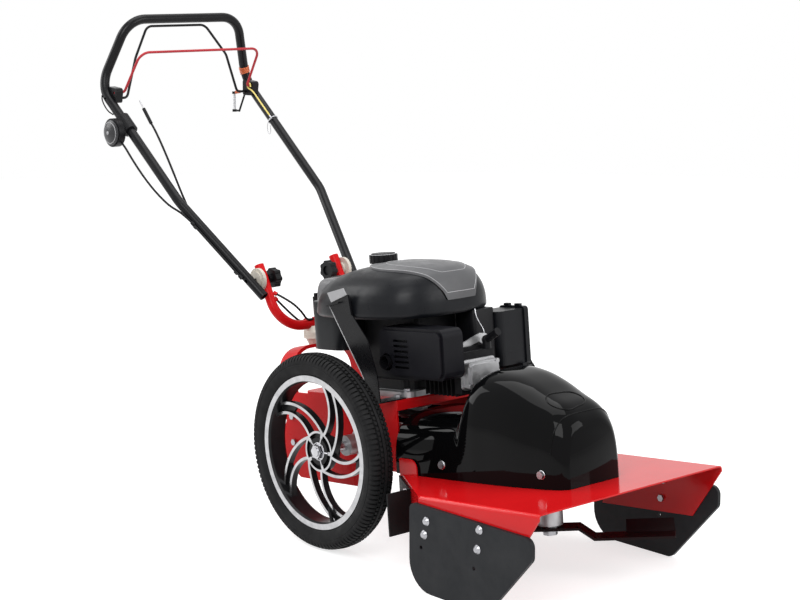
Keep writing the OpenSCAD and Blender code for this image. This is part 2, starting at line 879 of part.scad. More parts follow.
module frame_bolts() {
 color(bright_steel) in_chassis() {
  both_sides() for (z = arch_bolt_z) translate([-arch_x, -chassis_w / 2, z]) rotate([90, 0, 0])
   hex_bolt(plate_t + arch_t);
  for (b = engine_bolts)
   translate([crank_x + b.x, b.y, platform_top + base_t]) hex_bolt(base_t + platform_t);
  translate([crank_x + shield_bolt.x, shield_bolt.y, platform_top + shield_t])
   hex_bolt(shield_t + platform_t);
  translate([spindle_x, 0, deck_top + spindle_flange_t])
   around(spindle_bolt_count, 45) translate([spindle_bolt_r, 0, 0])
     hex_bolt(spindle_flange_t + deck_t);
  both_sides() for (x = cover_bolt_x)
   translate([x, -cover_width_at(x - bolt_head_r) + (x < riser_x ? 0.3 : -gap), cover_bolt_z])
   rotate([90, 0, 0]) cylinder(h = 4, r = bolt_head_r);
  both_sides() at_diagonal_wall() translate([flap_bolt_d, deck_t + flap_t + 2 * seat_fit, deck_bottom - 16])
   rotate([-90, 0, 0]) hex_bolt(deck_t + flap_t);
 }
}

// Cutter deck

deck_tail = plate_seat + gap;
diagonal = [deck_side - plate_front, (deck_w - chassis_w - deck_t) / 2];
wall_angle = atan2(diagonal.y, diagonal.x);
wall_lap = 2;
ear_len = 52;
ear_h = 34;
ear_t = 3;
idler_post_r = 8;
idler_pin_r = 6;
idler_arm_z = 34;
idler_plate_t = 6;

// Frame of the right diagonal wall: X along it, Y out of the deck
module at_diagonal_wall() {
 translate([plate_front, -chassis_w / 2, 0]) mirror([0, 1, 0]) rotate([0, 0, wall_angle])
  translate([0, -deck_t / 2, 0]) children();
}

// Inverted channel of the bent deck sheet, in the YZ plane
module deck_channel() {
 half = deck_w / 2;
 in_half = half - deck_t;
 low = deck_top - flange_h;
 in_bend = deck_bend - deck_t;
 polygon(concat(
  [[-half, low], [-in_half, low]],
  arc_points([-in_half + in_bend, deck_bottom - in_bend], in_bend, 180, -90, 5),
  arc_points([in_half - in_bend, deck_bottom - in_bend], in_bend, 90, -90, 5),
  [[in_half, low], [half, low]],
  arc_points([half - deck_bend, deck_top - deck_bend], deck_bend, 0, 90, 5),
  arc_points([-half + deck_bend, deck_top - deck_bend], deck_bend, 90, 90, 5)
 ));
}

module cutter_deck() {
 half = deck_w / 2;
 low = deck_top - flange_h;
 color(red_paint) in_chassis() difference() {
  union() {
   intersection() {
    translate([deck_side, 0, 0]) rotate([90, 0, 90]) linear_extrude(deck_front - deck_side)
     deck_channel();
    side_extrude(-deck_w, 2 * deck_w) polygon([
     [deck_side - 1, deck_top + 1], [deck_front + 1, deck_top + 1],
     [deck_front + 1, deck_top - deck_bend - deck_t],
     [deck_front - 82, low - 1], [deck_side - 1, low - 1]
    ]);
   }
   up(deck_bottom) linear_extrude(deck_t) polygon([
    [deck_tail, -chassis_w / 2], [plate_front, -chassis_w / 2], [deck_side, -half + deck_t / 2],
    [deck_side + wall_lap, -half + deck_bend], [deck_side + wall_lap, half - deck_bend],
    [deck_side, half - deck_t / 2], [plate_front, chassis_w / 2], [deck_tail, chassis_w / 2]
   ]);
   both_sides() at_diagonal_wall() translate([-wall_lap, 0, deck_top - wall_h])
    cube([norm(diagonal) + wall_lap, deck_t, wall_h]);
   both_sides() side_extrude(-cover_half - gap - ear_t, ear_t) polygon(rounded([
    [plate_front + 22, deck_bottom, 0], [plate_front + 22 + ear_len, deck_bottom, 0],
    [plate_front + 22 + ear_len, deck_top + ear_h, 20],
    [plate_front + 22, deck_top + ear_h, 4]
   ]));
   translate([idler_pivot.x, idler_pivot.y, deck_bottom]) {
    cylinder(h = idler_arm_z - gap - deck_bottom, r = idler_post_r);
    cylinder(h = idler_arm_z + idler_plate_t + 8 - deck_bottom, r = idler_pin_r);
   }
  }
  translate([spindle_x, 0, deck_bottom - 1]) cylinder(h = deck_t + 2, r = spindle_body_r + seat_fit);
  translate([spindle_x, 0, deck_bottom - 1]) around(spindle_bolt_count, 45)
    translate([spindle_bolt_r, 0, 0]) cylinder(h = deck_t + 2, r = bolt_r);
  both_sides() at_diagonal_wall() translate([flap_bolt_d, -1, deck_bottom - 16]) rotate([-90, 0, 0])
   cylinder(h = 3 * deck_t, r = bolt_r);
  both_sides() unpitched() at_skid_holes(skid_bolts_used)
   cylinder(h = far, r = skid_bolt_r, center = true);
 }
}

// Cancels the chassis pitch
module unpitched() {
 rotate([0, chassis_pitch, 0]) children();
}

// Bolt places on the right flange, Z pointing outwards
module at_skid_holes(rows) {
 for (k = rows, hole = [[rear_hole_r, rear_hole_angle], [front_hole_r, front_hole_angle]])
  translate([
   hole.x * cos(hole.y - hole_step * k),
   -deck_w / 2,
   hole.x * sin(hole.y - hole_step * k)
  ])
   rotate([90, 0, 0]) children();
}

flap_strip = 150;
flap_out = deck_w / 2;

function flap_point(along, out) =
 [plate_front, chassis_w / 2] + along * [cos(wall_angle), sin(wall_angle)]
  + (deck_t / 2 + seat_fit + out) * [-sin(wall_angle), cos(wall_angle)];

// Plan of the left flap: a strip along the wall, then a wing in front of the wheel
module flap_plan() {
 bend = flap_point(4 + flap_strip, flap_t);
 fold = flap_point((bend.x + flap_t - flap_point(0, 0).x) / cos(wall_angle), 0);
 polygon([
  flap_point(4, 0), flap_point(4, flap_t), bend, [bend.x, flap_out], [bend.x + flap_t, flap_out],
  [bend.x + flap_t, fold.y]
 ]);
}

module rear_flaps() {
 color(rubber_black) in_chassis() both_sides() difference() {
  mirror([0, 1, 0]) up(deck_bottom - 4 - flap_h) linear_extrude(flap_h) flap_plan();
  at_diagonal_wall() translate([flap_bolt_d, 0, deck_bottom - 16]) rotate([-90, 0, 0])
   cylinder(h = 4 * flap_t, r = bolt_r);
 }
}

// Skids, which stay level with the ground

skid_bevel = 118;
skid_heel = 62;

module skid_outline() {
 polygon(rounded([
  [skid_rear, skid_h, 14], [skid_rear, 0, skid_heel], [skid_front - skid_bevel, 0, 22],
  [skid_front, skid_bevel * 1.13, 16], [skid_front, skid_h, 18]
 ], 8));
}

module skid(side) {
 color(skid_grey) translate([axle_x, 0, 0]) scale_side(side) difference() {
  side_extrude(-deck_w / 2 - skid_t, skid_t) skid_outline();
  up(wheel_r) at_skid_holes(skid_holes)
   cylinder(h = far, r = skid_bolt_r, center = true);
 }
}

module right_skid() { skid(right); }
module left_skid() { skid(left); }

skid_head_r = 9;
skid_head_h = 4;

module skid_bolts() {
 color(bright_steel) translate([axle_x, 0, wheel_r]) both_sides() at_skid_holes(skid_bolts_used) {
  up(skid_t) cylinder(h = skid_head_h, r1 = skid_head_r, r2 = skid_head_r * 0.6);
  up(-deck_t - bolt_head_h)
   cylinder(h = skid_t + deck_t + bolt_head_h, r = skid_bolt_r - seat_fit);
  up(-deck_t - bolt_head_h) nut(skid_bolt_r - 1);
 }
}

// Belt cover: a moulded shell, open below and at the rear

cover_rear = plate_front + 8;
cover_base = deck_top + gap;
cover_power = 3.4;
cover_steps = 20;
riser_x = 292;

// Stations of the cover from the rear: place, half width and height above the axle
cover_stations = [
 [cover_rear, cover_half, cover_low], [riser_x - 60, cover_half - 4, cover_low + 2],
 [riser_x, cover_half - 8, cover_low + 8], [riser_x + 10, cover_half - 9, cover_dome - 34],
 [riser_x + 26, cover_half - 10, cover_dome - 8], [riser_x + 48, cover_half - 11, cover_dome],
 [riser_x + 76, cover_half - 14, cover_dome - 2], [riser_x + 110, cover_half - 17, cover_dome - 9],
 [riser_x + 150, cover_half - 22, cover_dome - 24], [riser_x + 190, cover_nose_half + 8, cover_dome - 43],
 [cover_front - 40, cover_nose_half + 1, cover_nose + 36],
 [cover_front - 22, cover_nose_half - 4, cover_nose + 24],
 [cover_front - 9, cover_nose_half - 12, cover_nose + 11],
 [cover_front - 2, cover_nose_half - 20, cover_nose + 1],
 [cover_front, cover_nose_half - 25, cover_nose - 7]
];

function cover_width_at(x) = lookup(x, [for (s = cover_stations) [s.x, s.y]]);

function cover_ring(station, inset, x) =
 [for (k = [0:cover_steps])
  let (
   c = cos(180 * k / cover_steps),
   s = sin(180 * k / cover_steps),
   rise = station.z - inset - cover_base
  )
  [x, (station.y - inset) * sign(c) * pow(abs(c), 2 / cover_power),
   cover_base + rise * pow(max(s, 0), 2 / cover_power)]];

module belt_cover() {
 m = len(cover_stations);
 n = cover_steps + 1;
 last = m - 1;
 outer = [for (s = cover_stations) each cover_ring(s, 0, s.x)];
 inner = [for (s = cover_stations) each cover_ring(s, cover_wall, min(s.x, cover_front - cover_wall))];
 inside = m * n;
 skin_faces = [for (i = [0:m - 2], j = [0:n - 2])
  each quad(i * n + j, i * n + j + 1, (i + 1) * n + j + 1, (i + 1) * n + j)];
 rear_rim = [for (j = [0:n - 2]) each quad(j, inside + j, inside + j + 1, j + 1)];
 right_rim = [for (i = [0:m - 2])
  each quad(i * n + n - 1, inside + i * n + n - 1, inside + (i + 1) * n + n - 1, (i + 1) * n + n - 1)];
 left_rim = [for (i = [0:m - 2]) each quad(i * n, (i + 1) * n, inside + (i + 1) * n, inside + i * n)];
 nose = [for (j = [1:n - 2]) [last * n, last * n + j, last * n + j + 1]];
 nose_rim = quad(last * n, last * n + n - 1, inside + last * n + n - 1, inside + last * n);
 color(gloss_black) in_chassis() polyhedron(concat(outer, inner), concat(
  skin_faces, flipped(skin_faces, inside), rear_rim, right_rim, left_rim,
  nose, flipped(nose, inside), nose_rim
 ));
}

function quad(a, b, c, d) = [[a, b, c], [a, c, d]];
function flipped(faces, offset) = [for (f = faces) [f[2] + offset, f[1] + offset, f[0] + offset]];

// Cutter

module spindle_housing() {
 color(cast_silver) in_chassis() translate([spindle_x, 0, 0]) difference() {
  union() {
   up(spindle_low) cylinder(h = spindle_high - spindle_low, r = spindle_body_r);
   up(deck_top) cylinder(h = spindle_flange_t, r = spindle_flange_r);
   around(spindle_bolt_count) translate([spindle_body_r - 4, -3, deck_top])
     cube([18, 6, 34]);
  }
  up(spindle_low - 1)
   cylinder(h = spindle_high - spindle_low + 2, r = bearing_r + seat_fit);
  up(deck_top - 1) around(spindle_bolt_count, 45)
    translate([spindle_bolt_r, 0, 0]) cylinder(h = spindle_flange_t + 2, r = bolt_r);
 }
}

spindle_shaft_r = axle_r + seat_fit - run_fit;
spindle_collar_r = 19;
blade_low = -blade_drop - blade_t;

module spindle_shaft() {
 color(bright_steel) in_chassis() translate([spindle_x, 0, 0]) {
  up(blade_low - nut_h - washer_t)
   cylinder(h = cutter_belt_z + belt_w / 2 + 12 - blade_low + nut_h + washer_t, r = spindle_shaft_r);
  up(-blade_drop) cylinder(h = spindle_low - gap + blade_drop, r = spindle_collar_r);
 }
}

module spindle_pulley() {
 color(cast_silver) in_chassis() translate([spindle_x, 0, cutter_belt_z]) difference() {
  union() {
   pulley_ring(spindle_belt_r, spindle_shaft_r + 2);
   up(spindle_high + gap - cutter_belt_z)
    cylinder(h = cutter_belt_z - spindle_high - gap + belt_w / 2 + 3, r = spindle_collar_r);
  }
  up(-cutter_belt_z) cylinder(h = 2 * cutter_belt_z, r = spindle_shaft_r + seat_fit);
  for (k = [0:4])
   rotate([0, 0, 72 * k]) translate([(spindle_belt_r + spindle_collar_r) / 2, 0, -belt_w])
    cylinder(h = 2 * belt_w, r = 9);
 }
}

blade_flat = 58;
blade_step = 30;
wing_from = 150;
wing_tilt = 38;

// Half of the blade's cranked strip, in the plane of its length
module blade_side() {
 polygon([
  [0, -blade_t], [blade_flat, -blade_t], [blade_flat + blade_step, -blade_t - blade_crank],
  [blade_r, -blade_t - blade_crank], [blade_r, -blade_crank],
  [blade_flat + blade_step + 1, -blade_crank], [blade_flat + 1, 0], [0, 0]
 ]);
}

module cutter_blade() {
 color([0.22, 0.06, 0.06]) in_chassis() translate([spindle_x, 0, -blade_drop])
  rotate([0, 0, blade_angle]) difference() {
   union() {
    for (end = [0, 180])
     rotate([0, 0, end]) {
      side_extrude(-blade_w / 2, blade_w) blade_side();
      intersection() {
       translate([wing_from, blade_w / 2 - blade_t, -blade_t - blade_crank])
        rotate([90 - wing_tilt, 0, 0]) cube([blade_r - wing_from, wing_h * 1.2, blade_t]);
       cylinder(h = far, r = blade_r, center = true);
      }
     }
   }
   up(-far / 2) cylinder(h = far, r = spindle_shaft_r + seat_fit);
  }
}

blade_washer_r = 25;

module blade_nut() {
 color(black_paint) in_chassis() translate([spindle_x, 0, blade_low - washer_t - nut_h]) difference() {
  union() {
   cylinder(h = nut_h, r = axle_nut_r, $fn = hex);
   up(nut_h) cylinder(h = washer_t, r = blade_washer_r);
  }
  up(-1) cylinder(h = nut_h + washer_t + 2, r = spindle_shaft_r + seat_fit);
 }
}

// Belt drive

crank_bottom = traction_belt_z - belt_w / 2 - 8;
crank_end = sump_h - 8;

module crankshaft() {
 color(bright_steel) in_chassis() translate([crank_x, 0, crank_bottom])
  cylinder(h = platform_top + crank_end - crank_bottom, r = crank_r);
}

module drive_pulley() {
 color(cast_silver) in_chassis() translate([crank_x, 0, 0]) {
  up(cutter_belt_z) pulley_ring(drive_belt_r, crank_r + seat_fit);
  up(traction_belt_z) pulley_ring(traction_small_r, crank_r + seat_fit);
  up(traction_belt_z)
   ring(cutter_belt_z - traction_belt_z, crank_r + seat_fit, crank_r + 8);
 }
}

module cutter_belt() {
 color(belt_black) in_chassis() translate([crank_x, 0, cutter_belt_z])
  belt_loop(drive_belt_r, spindle_belt_r, spindle_x - crank_x);
}

// Idler on the right run of the cutter belt
belt_lean = asin((spindle_belt_r - drive_belt_r) / (spindle_x - crank_x));
idler_x = 340;
idler_reach = (drive_belt_r + belt_t + idler_r + idler_gap + (idler_x - crank_x) * sin(belt_lean))
 / cos(belt_lean);
idler_pivot = [idler_x - idler_arm_len, -idler_reach];

module idler_arm() {
 color(black_paint) in_chassis() up(idler_arm_z) difference() {
  union() {
   for (x = [idler_x, idler_pivot.x])
    translate([x, -idler_reach, 0]) cylinder(h = idler_plate_t, r = 13);
   translate([idler_pivot.x, -idler_reach - 9, 0]) cube([idler_arm_len, 18, idler_plate_t]);
   translate([idler_x, -idler_reach, 0]) cylinder(h = cutter_belt_z + 10 - idler_arm_z, r = 5);
  }
  translate([idler_pivot.x, idler_pivot.y, -1])
   cylinder(h = idler_plate_t + 2, r = idler_pin_r + run_fit);
 }
}

module idler_pulley() {
 color(black_paint) in_chassis() translate([idler_x, -idler_reach, cutter_belt_z]) difference() {
  union() {
   cylinder(h = belt_w + 2, r = idler_r, center = true);
   for (z = [-1, 1])
    up(z * (belt_w / 2 + 1.5)) cylinder(h = 1, r = idler_r - 2, center = true);
  }
  cylinder(h = 2 * belt_w, r = 5 + run_fit, center = true);
 }
}

// Engine

base_front = 76;
base_rear = 98;
base_half = 84;
block_half = 58;
block_rear = 96;
block_front = 92;
head_from = 198;
fin_t = 3;
cylinder_y = -10;
cylinder_z = 54;

module engine_base() {
 color(cast_silver) in_engine() difference() {
  union() {
   linear_extrude(base_t) polygon(rounded([
    [-base_rear, -base_half, 26], [base_front, -base_half, 26],
    [base_front, base_half, 26], [-base_rear, base_half, 26]
   ]));
   linear_extrude(sump_h) polygon(rounded([
    [-base_rear + 12, -block_half - 6, 30], [base_front - 10, -block_half - 6, 30],
    [base_front - 10, block_half + 6, 30], [-base_rear + 12, block_half + 6, 30]
   ]));
   up(-platform_t) cylinder(h = platform_t, r = crank_hole_r - 6);
  }
  for (b = engine_bolts)
   translate([b.x, b.y, -1]) cylinder(h = base_t + 2, r = bolt_r);
  for (b = engine_bolts)
   translate([b.x, b.y, base_t]) cylinder(h = sump_h, r = bolt_head_r + 2);
  up(-platform_t - 1) cylinder(h = platform_t + crank_end + 2, r = crank_r + run_fit);
 }
}

module engine_block() {
 fin_pitch = (head_from - block_front - fin_t) / fin_count;
 color(cast_silver) in_engine() {
  up(sump_h) linear_extrude(shroud_low - sump_h) polygon(rounded([
   [-block_rear, -block_half, 30], [block_front, -block_half, 8],
   [block_front, block_half, 8], [-block_rear, block_half, 30]
  ]));
  translate([block_front, cylinder_y, cylinder_z]) rotate([0, 90, 0])
   cylinder(h = head_from - block_front, r = 40);
  for (k = [0:fin_count - 1])
   translate([block_front + fin_pitch * (k + 1), cylinder_y - 47, cylinder_z - 46])
    cube([fin_t, 96, 98]);
  translate([head_from, cylinder_y - 47, cylinder_z - 40])
   cube([rocker_front - 25 - head_from, 94, 84]);
 }
}

module rocker_cover() {
 color(cast_silver) in_engine() translate([rocker_front - 25, cylinder_y, cylinder_z - 2])
  rotate([90, 0, 90]) {
   linear_extrude(5) polygon(rounded_rect(rocker_w, rocker_h, 9));
   linear_extrude(19) polygon(rounded_rect(rocker_w - 8, rocker_h - 8, 9));
   linear_extrude(25) polygon(rounded_rect(rocker_w - 18, rocker_h - 18, 9));
   for (y = [-1, 1], z = [-1, 1])
    translate([y * (rocker_w / 2 - 9), z * (rocker_h / 2 - 9), 0]) cylinder(h = 22, r = 5);
  }
}

guard_x = rocker_front - 8 - guard_len;
guard_z = 50;
pipe_x = guard_x + 26;
pipe_z = guard_z + 32;
louvre_count = 6;

module muffler() {
 inset = guard_t + 5;
 color(black_paint) in_engine() difference() {
  union() {
   translate([head_from + 4, -guard_out + guard_d - 1, cylinder_z + 24]) rotate([-90, 0, 0])
    cylinder(h = cylinder_y - 46 + guard_out - guard_d - seat_fit, r = 10);
   side_extrude(-guard_out + inset, guard_d - inset)
    translate([guard_x + guard_len / 2, guard_z + guard_h / 2])
     polygon(rounded_rect(guard_len - 2 * inset, guard_h - 2 * inset, 22));
   translate([pipe_x, -guard_out + inset, pipe_z]) rotate([90, 0, 0])
    cylinder(h = inset + 8, r = pipe_r);
  }
  translate([pipe_x, -guard_out + inset, pipe_z]) rotate([90, 0, 0]) up(-10)
   cylinder(h = inset + 20, r = pipe_r - 2);
 }
}

module muffler_guard() {
 color(black_paint) in_engine() translate([guard_x + guard_len / 2, 0, guard_z + guard_h / 2])
  difference() {
   union() {
    side_extrude(-guard_out + 6, guard_d - 6) polygon(rounded_rect(guard_len, guard_h, 16));
    side_extrude(-guard_out, guard_d) polygon(rounded_rect(guard_len - 12, guard_h - 12, 12));
   }
   side_extrude(-guard_out + guard_t, guard_d)
    polygon(rounded_rect(guard_len - 2 * guard_t - 8, guard_h - 2 * guard_t - 8, 14));
   translate([pipe_x - guard_x - guard_len / 2, 0, pipe_z - guard_z - guard_h / 2])
    rotate([90, 0, 0]) cylinder(h = guard_out + 1, r = pipe_r + 3);
   for (k = [0:louvre_count - 1])
    translate([-guard_len / 2 + 50, -guard_out - 1, -guard_h / 2 + 20 + k * 11])
     cube([44, guard_t + 8, 5]);
  }
}

// Levels of the shroud's dome: height, share of the lower outline, forward shift
shroud_power = 2.9;
shroud_count = 40;
shroud_levels = [
 [0, 0.97, 0], [0.06, 1, 0], [0.30, 0.985, 2], [0.48, 0.945, 6], [0.64, 0.875, 12], [0.78, 0.77, 22],
 [0.89, 0.61, 34], [0.96, 0.42, 44], [1, 0.20, 50]
];
tail_len = 118;
tail_half = 118;
tail_low = 96;
tail_power = 5;
neck_x = -92;
neck_y = 22;
neck_r = cap_r - 5;
neck_top = shroud_top - 6;
spigot_r = neck_r - 8;
spigot_h = 12;
rope_r = 2;

function shroud_ring(level, grow) =
 [for (p = superellipse(shroud_a * level.y + grow, shroud_b * level.y + grow, shroud_power, shroud_count))
  [p.x - shroud_back + level.z, p.y, lerp(shroud_low, shroud_top, level.x) + (level.x > 0 ? grow : 0)]];

module shroud_dome(grow) {
 skin([for (level = shroud_levels) shroud_ring(level, grow)]);
}

module engine_shroud() {
 color(shroud_black) in_engine() difference() {
  union() {
   shroud_dome(0);
   translate([neck_x, neck_y, shroud_low + 20]) cylinder(h = neck_top - shroud_low - 20, r = neck_r);
   translate([neck_x, neck_y, shroud_low + 20])
    cylinder(h = neck_top + spigot_h - shroud_low - 20, r = spigot_r);
   translate([-shroud_back - shroud_a + 4 + tail_len / 2, 0, tail_low])
    linear_extrude(shroud_low + 30 - tail_low)
     polygon(superellipse(tail_len / 2, tail_half, tail_power, shroud_count));
   at_starter() up(-70) cylinder(h = 70, r = 12);
  }
  translate([-block_rear - gap, -block_half - gap, tail_low - 1])
   cube([2 * block_rear, 2 * block_half + 2 * gap, shroud_low - tail_low + 1]);
  at_starter() up(-starter_rope - gap)
   cylinder(h = starter_rope + far / 8, r = rope_r + 1);
 }
}

panel_x = 44;
panel_a = 118;
panel_b = 92;

module tank_panel() {
 color(panel_grey) in_engine() difference() {
  intersection() {
   shroud_dome(panel_t);
   translate([panel_x, 0, shroud_low + 40]) linear_extrude(far / 4)
    polygon(superellipse(panel_a, panel_b, 2.2, shroud_count));
  }
  shroud_dome(0);
  translate([neck_x, neck_y, shroud_low]) cylinder(h = far / 4, r = cap_r + 4);
 }
}

cap_notches = 18;

module fuel_cap() {
 color(black_paint) in_engine() translate([neck_x, neck_y, neck_top + gap]) difference() {
  union() {
   cylinder(h = cap_h - 3, r = cap_r);
   cylinder(h = cap_h, r = cap_r - 5);
  }
  up(-1) cylinder(h = spigot_h + 1, r = spigot_r + run_fit);
  around(cap_notches) translate([cap_r + 0.5, 0, 3]) cylinder(h = cap_h, r = 2.2);
 }
}

fin_end = cylinder_y + 49;
cleaner_x = 100;
cleaner_y = 105;
cleaner_z = 46;
cleaner_round = 16;

hinge_y = cleaner_d + gap + 6;
hinge_z = -10;
hinge_r = 3;
knuckle_r = 6;
knuckle_half = cleaner_len / 2 + 4;
hinge_lug = 5;

module air_cleaner_case() {
 color(shroud_black) in_engine() translate([cleaner_x, cleaner_y, cleaner_z]) {
  linear_extrude(cleaner_h) polygon(rounded([
   [0, 0, 4], [cleaner_len, 0, cleaner_round], [cleaner_len, cleaner_d, 0], [0, cleaner_d, 0]
  ]));
  translate([12, block_half - 14 - cleaner_y, 46]) cube([40, cleaner_y - block_half + 15, 40]);
  translate([block_front + gap - cleaner_x, fin_end + gap - cleaner_y, 52])
   cube([14 - block_front - gap + cleaner_x, block_half - fin_end - gap, 28]);
  translate([cleaner_len / 2 - knuckle_half - gap - hinge_lug, cleaner_d - 18, hinge_z - 4])
   cube([2 * (knuckle_half + gap + hinge_lug), 12, 5 - hinge_z]);
  for (side = [0, 1])
   translate([cleaner_len / 2 + (side == 0 ? -knuckle_half - gap - hinge_lug : knuckle_half + gap), 0, 0])
    translate([0, cleaner_d - 18, hinge_z - 4]) cube([hinge_lug, hinge_y - cleaner_d + 22, 8]);
  translate([cleaner_len / 2, hinge_y, hinge_z]) rotate([0, 90, 0])
   cylinder(h = 2 * (knuckle_half + hinge_lug), r = hinge_r, center = true);
 }
}

module air_cleaner_cover() {
 color(shroud_black) in_engine() translate([cleaner_x + cleaner_len / 2, cleaner_y, cleaner_z]) difference() {
  union() {
   translate([0, cleaner_d + gap, cleaner_h / 2]) {
    side_extrude(0, cleaner_lid - 5) polygon(rounded_rect(cleaner_len + 8, cleaner_h + 8, 8));
    side_extrude(0, cleaner_lid) polygon(rounded_rect(cleaner_len - 2, cleaner_h - 2, 8));
    for (x = [-16, 16])
     translate([x - 7, 0, cleaner_h / 2]) cube([14, 9, 9]);
   }
   translate([0, hinge_y, hinge_z]) rotate([0, 90, 0])
    cylinder(h = 2 * knuckle_half - 24, r = knuckle_r, center = true);
   translate([-knuckle_half + 12, hinge_y - 3, hinge_z]) cube([2 * knuckle_half - 24, 6, 12]);
  }
  translate([0, hinge_y, hinge_z]) rotate([0, 90, 0])
   cylinder(h = 3 * knuckle_half, r = hinge_r + run_fit, center = true);
 }
}

starter_rope = 107;
starter_tilt = 58;
starter_half = 27;

// Seat of the starter handle, with Z along the pull
module at_starter() {
 translate([-shroud_back - shroud_a + 8, 0, shroud_low + 54]) rotate([0, -starter_tilt, 0])
  children();
}

module starter_handle() {
 color(black_paint) in_engine() at_starter() {
  up(-starter_rope) cylinder(h = starter_rope + 16, r = rope_r);
  up(gap) cylinder(h = 16, r = 7);
  up(20) rotate([90, 0, 0]) {
   cylinder(h = 2 * starter_half, r = 8, center = true);
   for (end = [-1, 1])
    up(end * starter_half) sphere(8);
  }
 }
}

plug_y = 26;

module spark_plug() {
 color(black_paint) in_engine() translate([rocker_front - 30, plug_y, cylinder_z + 44]) {
  cylinder(h = 20, r = 9);
  up(18) rotate([0, 62, 0]) cylinder(h = 40, r = 8.5);
  up(18) sphere(10);
 }
}

shield_t = 2.5;
shield_y = -shroud_b - 4;

module exhaust_shield() {
 color(black_paint) in_engine() difference() {
  union() {
   side_extrude(shield_y, shield_t) polygon(rounded([
    [-71, 200, 4], [-23, 210, 4], [45, 132, 10], [69, 56, 10], [73, 0, 0], [37, 0, 0], [25, 52, 10]
   ]));
   translate([37, shield_y, 0]) cube([36, shield_bolt.y - shield_y + 8, shield_t]);
   translate([-71, shield_y - 12, 200]) rotate([0, -11.8, 0]) translate([4, 0, -shield_t])
    cube([42, 12 + shield_t, shield_t]);
  }
  translate([shield_bolt.x, shield_bolt.y, -1]) cylinder(h = shield_t + 2, r = bolt_r);
 }
}

// Swivel and yoke

swivel_neck_r = 24;

module swivel_base() {
 color(cream_cast) in_chassis() difference() {
  union() {
   difference() {
    translate([swivel_x, 0, swivel_z]) {
     up(-arch_t) cylinder(h = arch_t + 1, r = swivel_neck_r);
     cylinder(h = swivel_base_h - 4, r1 = swivel_neck_r, r2 = swivel_r - 3);
     up(swivel_base_h - 6) cylinder(h = 6, r = swivel_r);
    }
    translate([-arch_x, 0, 0]) rotate([0, -arch_lean, 0])
     translate([-far / 2, -far / 2, arch_top + seat_fit - far]) cube(far);
   }
   translate([swivel_x, 0, swivel_z - 3 * arch_t / 2]) cylinder(h = swivel_base_h, r = swivel_pin_r);
  }
  translate([swivel_x, 0, swivel_z - far / 2]) cylinder(h = far, r = lock_r + run_fit);
 }
}

lock_r = 5;
lock_rise = 52;

module swivel_head() {
 color(cream_cast) in_chassis() translate([swivel_x, 0, swivel_z + swivel_base_h + gap]) difference() {
  union() {
   cylinder(h = 8, r = swivel_r);
   up(8)
    cylinder(h = swivel_head_h - 8 + yoke_r * 0.6, r1 = swivel_r, r2 = swivel_r - 6);
  }
  up(swivel_head_h + yoke_r) cross_bar(4 * swivel_r, yoke_r + seat_fit);
  up(-1) cylinder(h = far, r = lock_r + run_fit);
 }
}

yoke_up = [-sin(yoke_lean), 0, cos(yoke_lean)];
yoke_corner = [0, right * yoke_half, 0];
yoke_top = yoke_corner + yoke_up * (yoke_reach + yoke_tip);
yoke_path = [yoke_top, yoke_corner, flip(yoke_corner), flip(yoke_top)];

module yoke_tube() {
 color(red_paint) difference() {
  at_yoke() {
   bent_tube(yoke_path, [yoke_bend, yoke_bend], yoke_r, yoke_r - tube_wall);
   for (route = [base_route_a, base_route_b]) {
    cable_socket(route[0], route[1]);
    cable_socket(route[len(route) - 1], route[len(route) - 2]);
   }
  }
  at_tilt() cross_bar(far, stud_r + run_fit);
  in_chassis() translate([swivel_x, 0, swivel_z]) cylinder(h = far, r = lock_r + run_fit);
 }
}

module swivel_lock() {
 color(black_paint) in_chassis() translate([swivel_x, 0, swivel_z]) {
  up(4) cylinder(h = yoke_z - swivel_z + yoke_r + lock_rise, r = lock_r);
  up(yoke_z - swivel_z + yoke_r + 8) cylinder(h = lock_rise - 12, r = lock_r + 3);
 }
}

disc_in = yoke_half + yoke_r + gap;
disc_teeth = 24;

module pivot_discs() {
 color(cream_cast) at_tilt() both_sides() translate([0, -disc_in, 0]) rotate([90, 0, 0]) difference() {
  union() {
   cylinder(h = disc_t - 3, r = disc_r);
   cylinder(h = disc_t, r = disc_r - 7);
   up(-yoke_r / 2) cylinder(h = yoke_r / 2 + 1, r = yoke_r + 3);
  }
  up(-far / 2) cylinder(h = far, r = stud_r + run_fit);
  around(disc_teeth) translate([disc_r - 6, -0.9, disc_t - 4]) cube([8, 1.8, 4]);
  rotate([-90, 0, 0]) at_yoke_from_tilt()
   rod_between([0, 0, -4 * yoke_r], [0, 0, 4 * yoke_r], yoke_r + seat_fit);
 }
}

// Frame of the yoke's right tube at the tilt axis, seen from a pivot disc
module at_yoke_from_tilt() {
 translate([0, disc_in - yoke_half, 0]) rotate([0, -yoke_lean, 0]) children();
}

knob_lobes = 7;
knob_face = yoke_half - yoke_r - gap;
stud_end = bar_low_half + 4;

knob_lobe_r = 6;

module knob(side) {
 color(black_paint) at_tilt() scale_side(side) rotate([90, 0, 0]) {
  up(knob_face - knob_t) difference() {
   union() {
    linear_extrude(knob_t - 8) {
     circle(knob_r - 3);
     around(knob_lobes) translate([knob_r - knob_lobe_r, 0]) circle(knob_lobe_r);
    }
    up(8) cylinder(h = knob_t - 8, r = 10);
   }
   up(-1) cylinder(h = 5, r = knob_r - 12);
  }
  up(knob_face - 4) cylinder(h = stud_end - knob_face + 4, r = stud_r);
 }
}

module right_knob() { knob(right); }
module left_knob() { knob(left); }

// Handlebar and controls

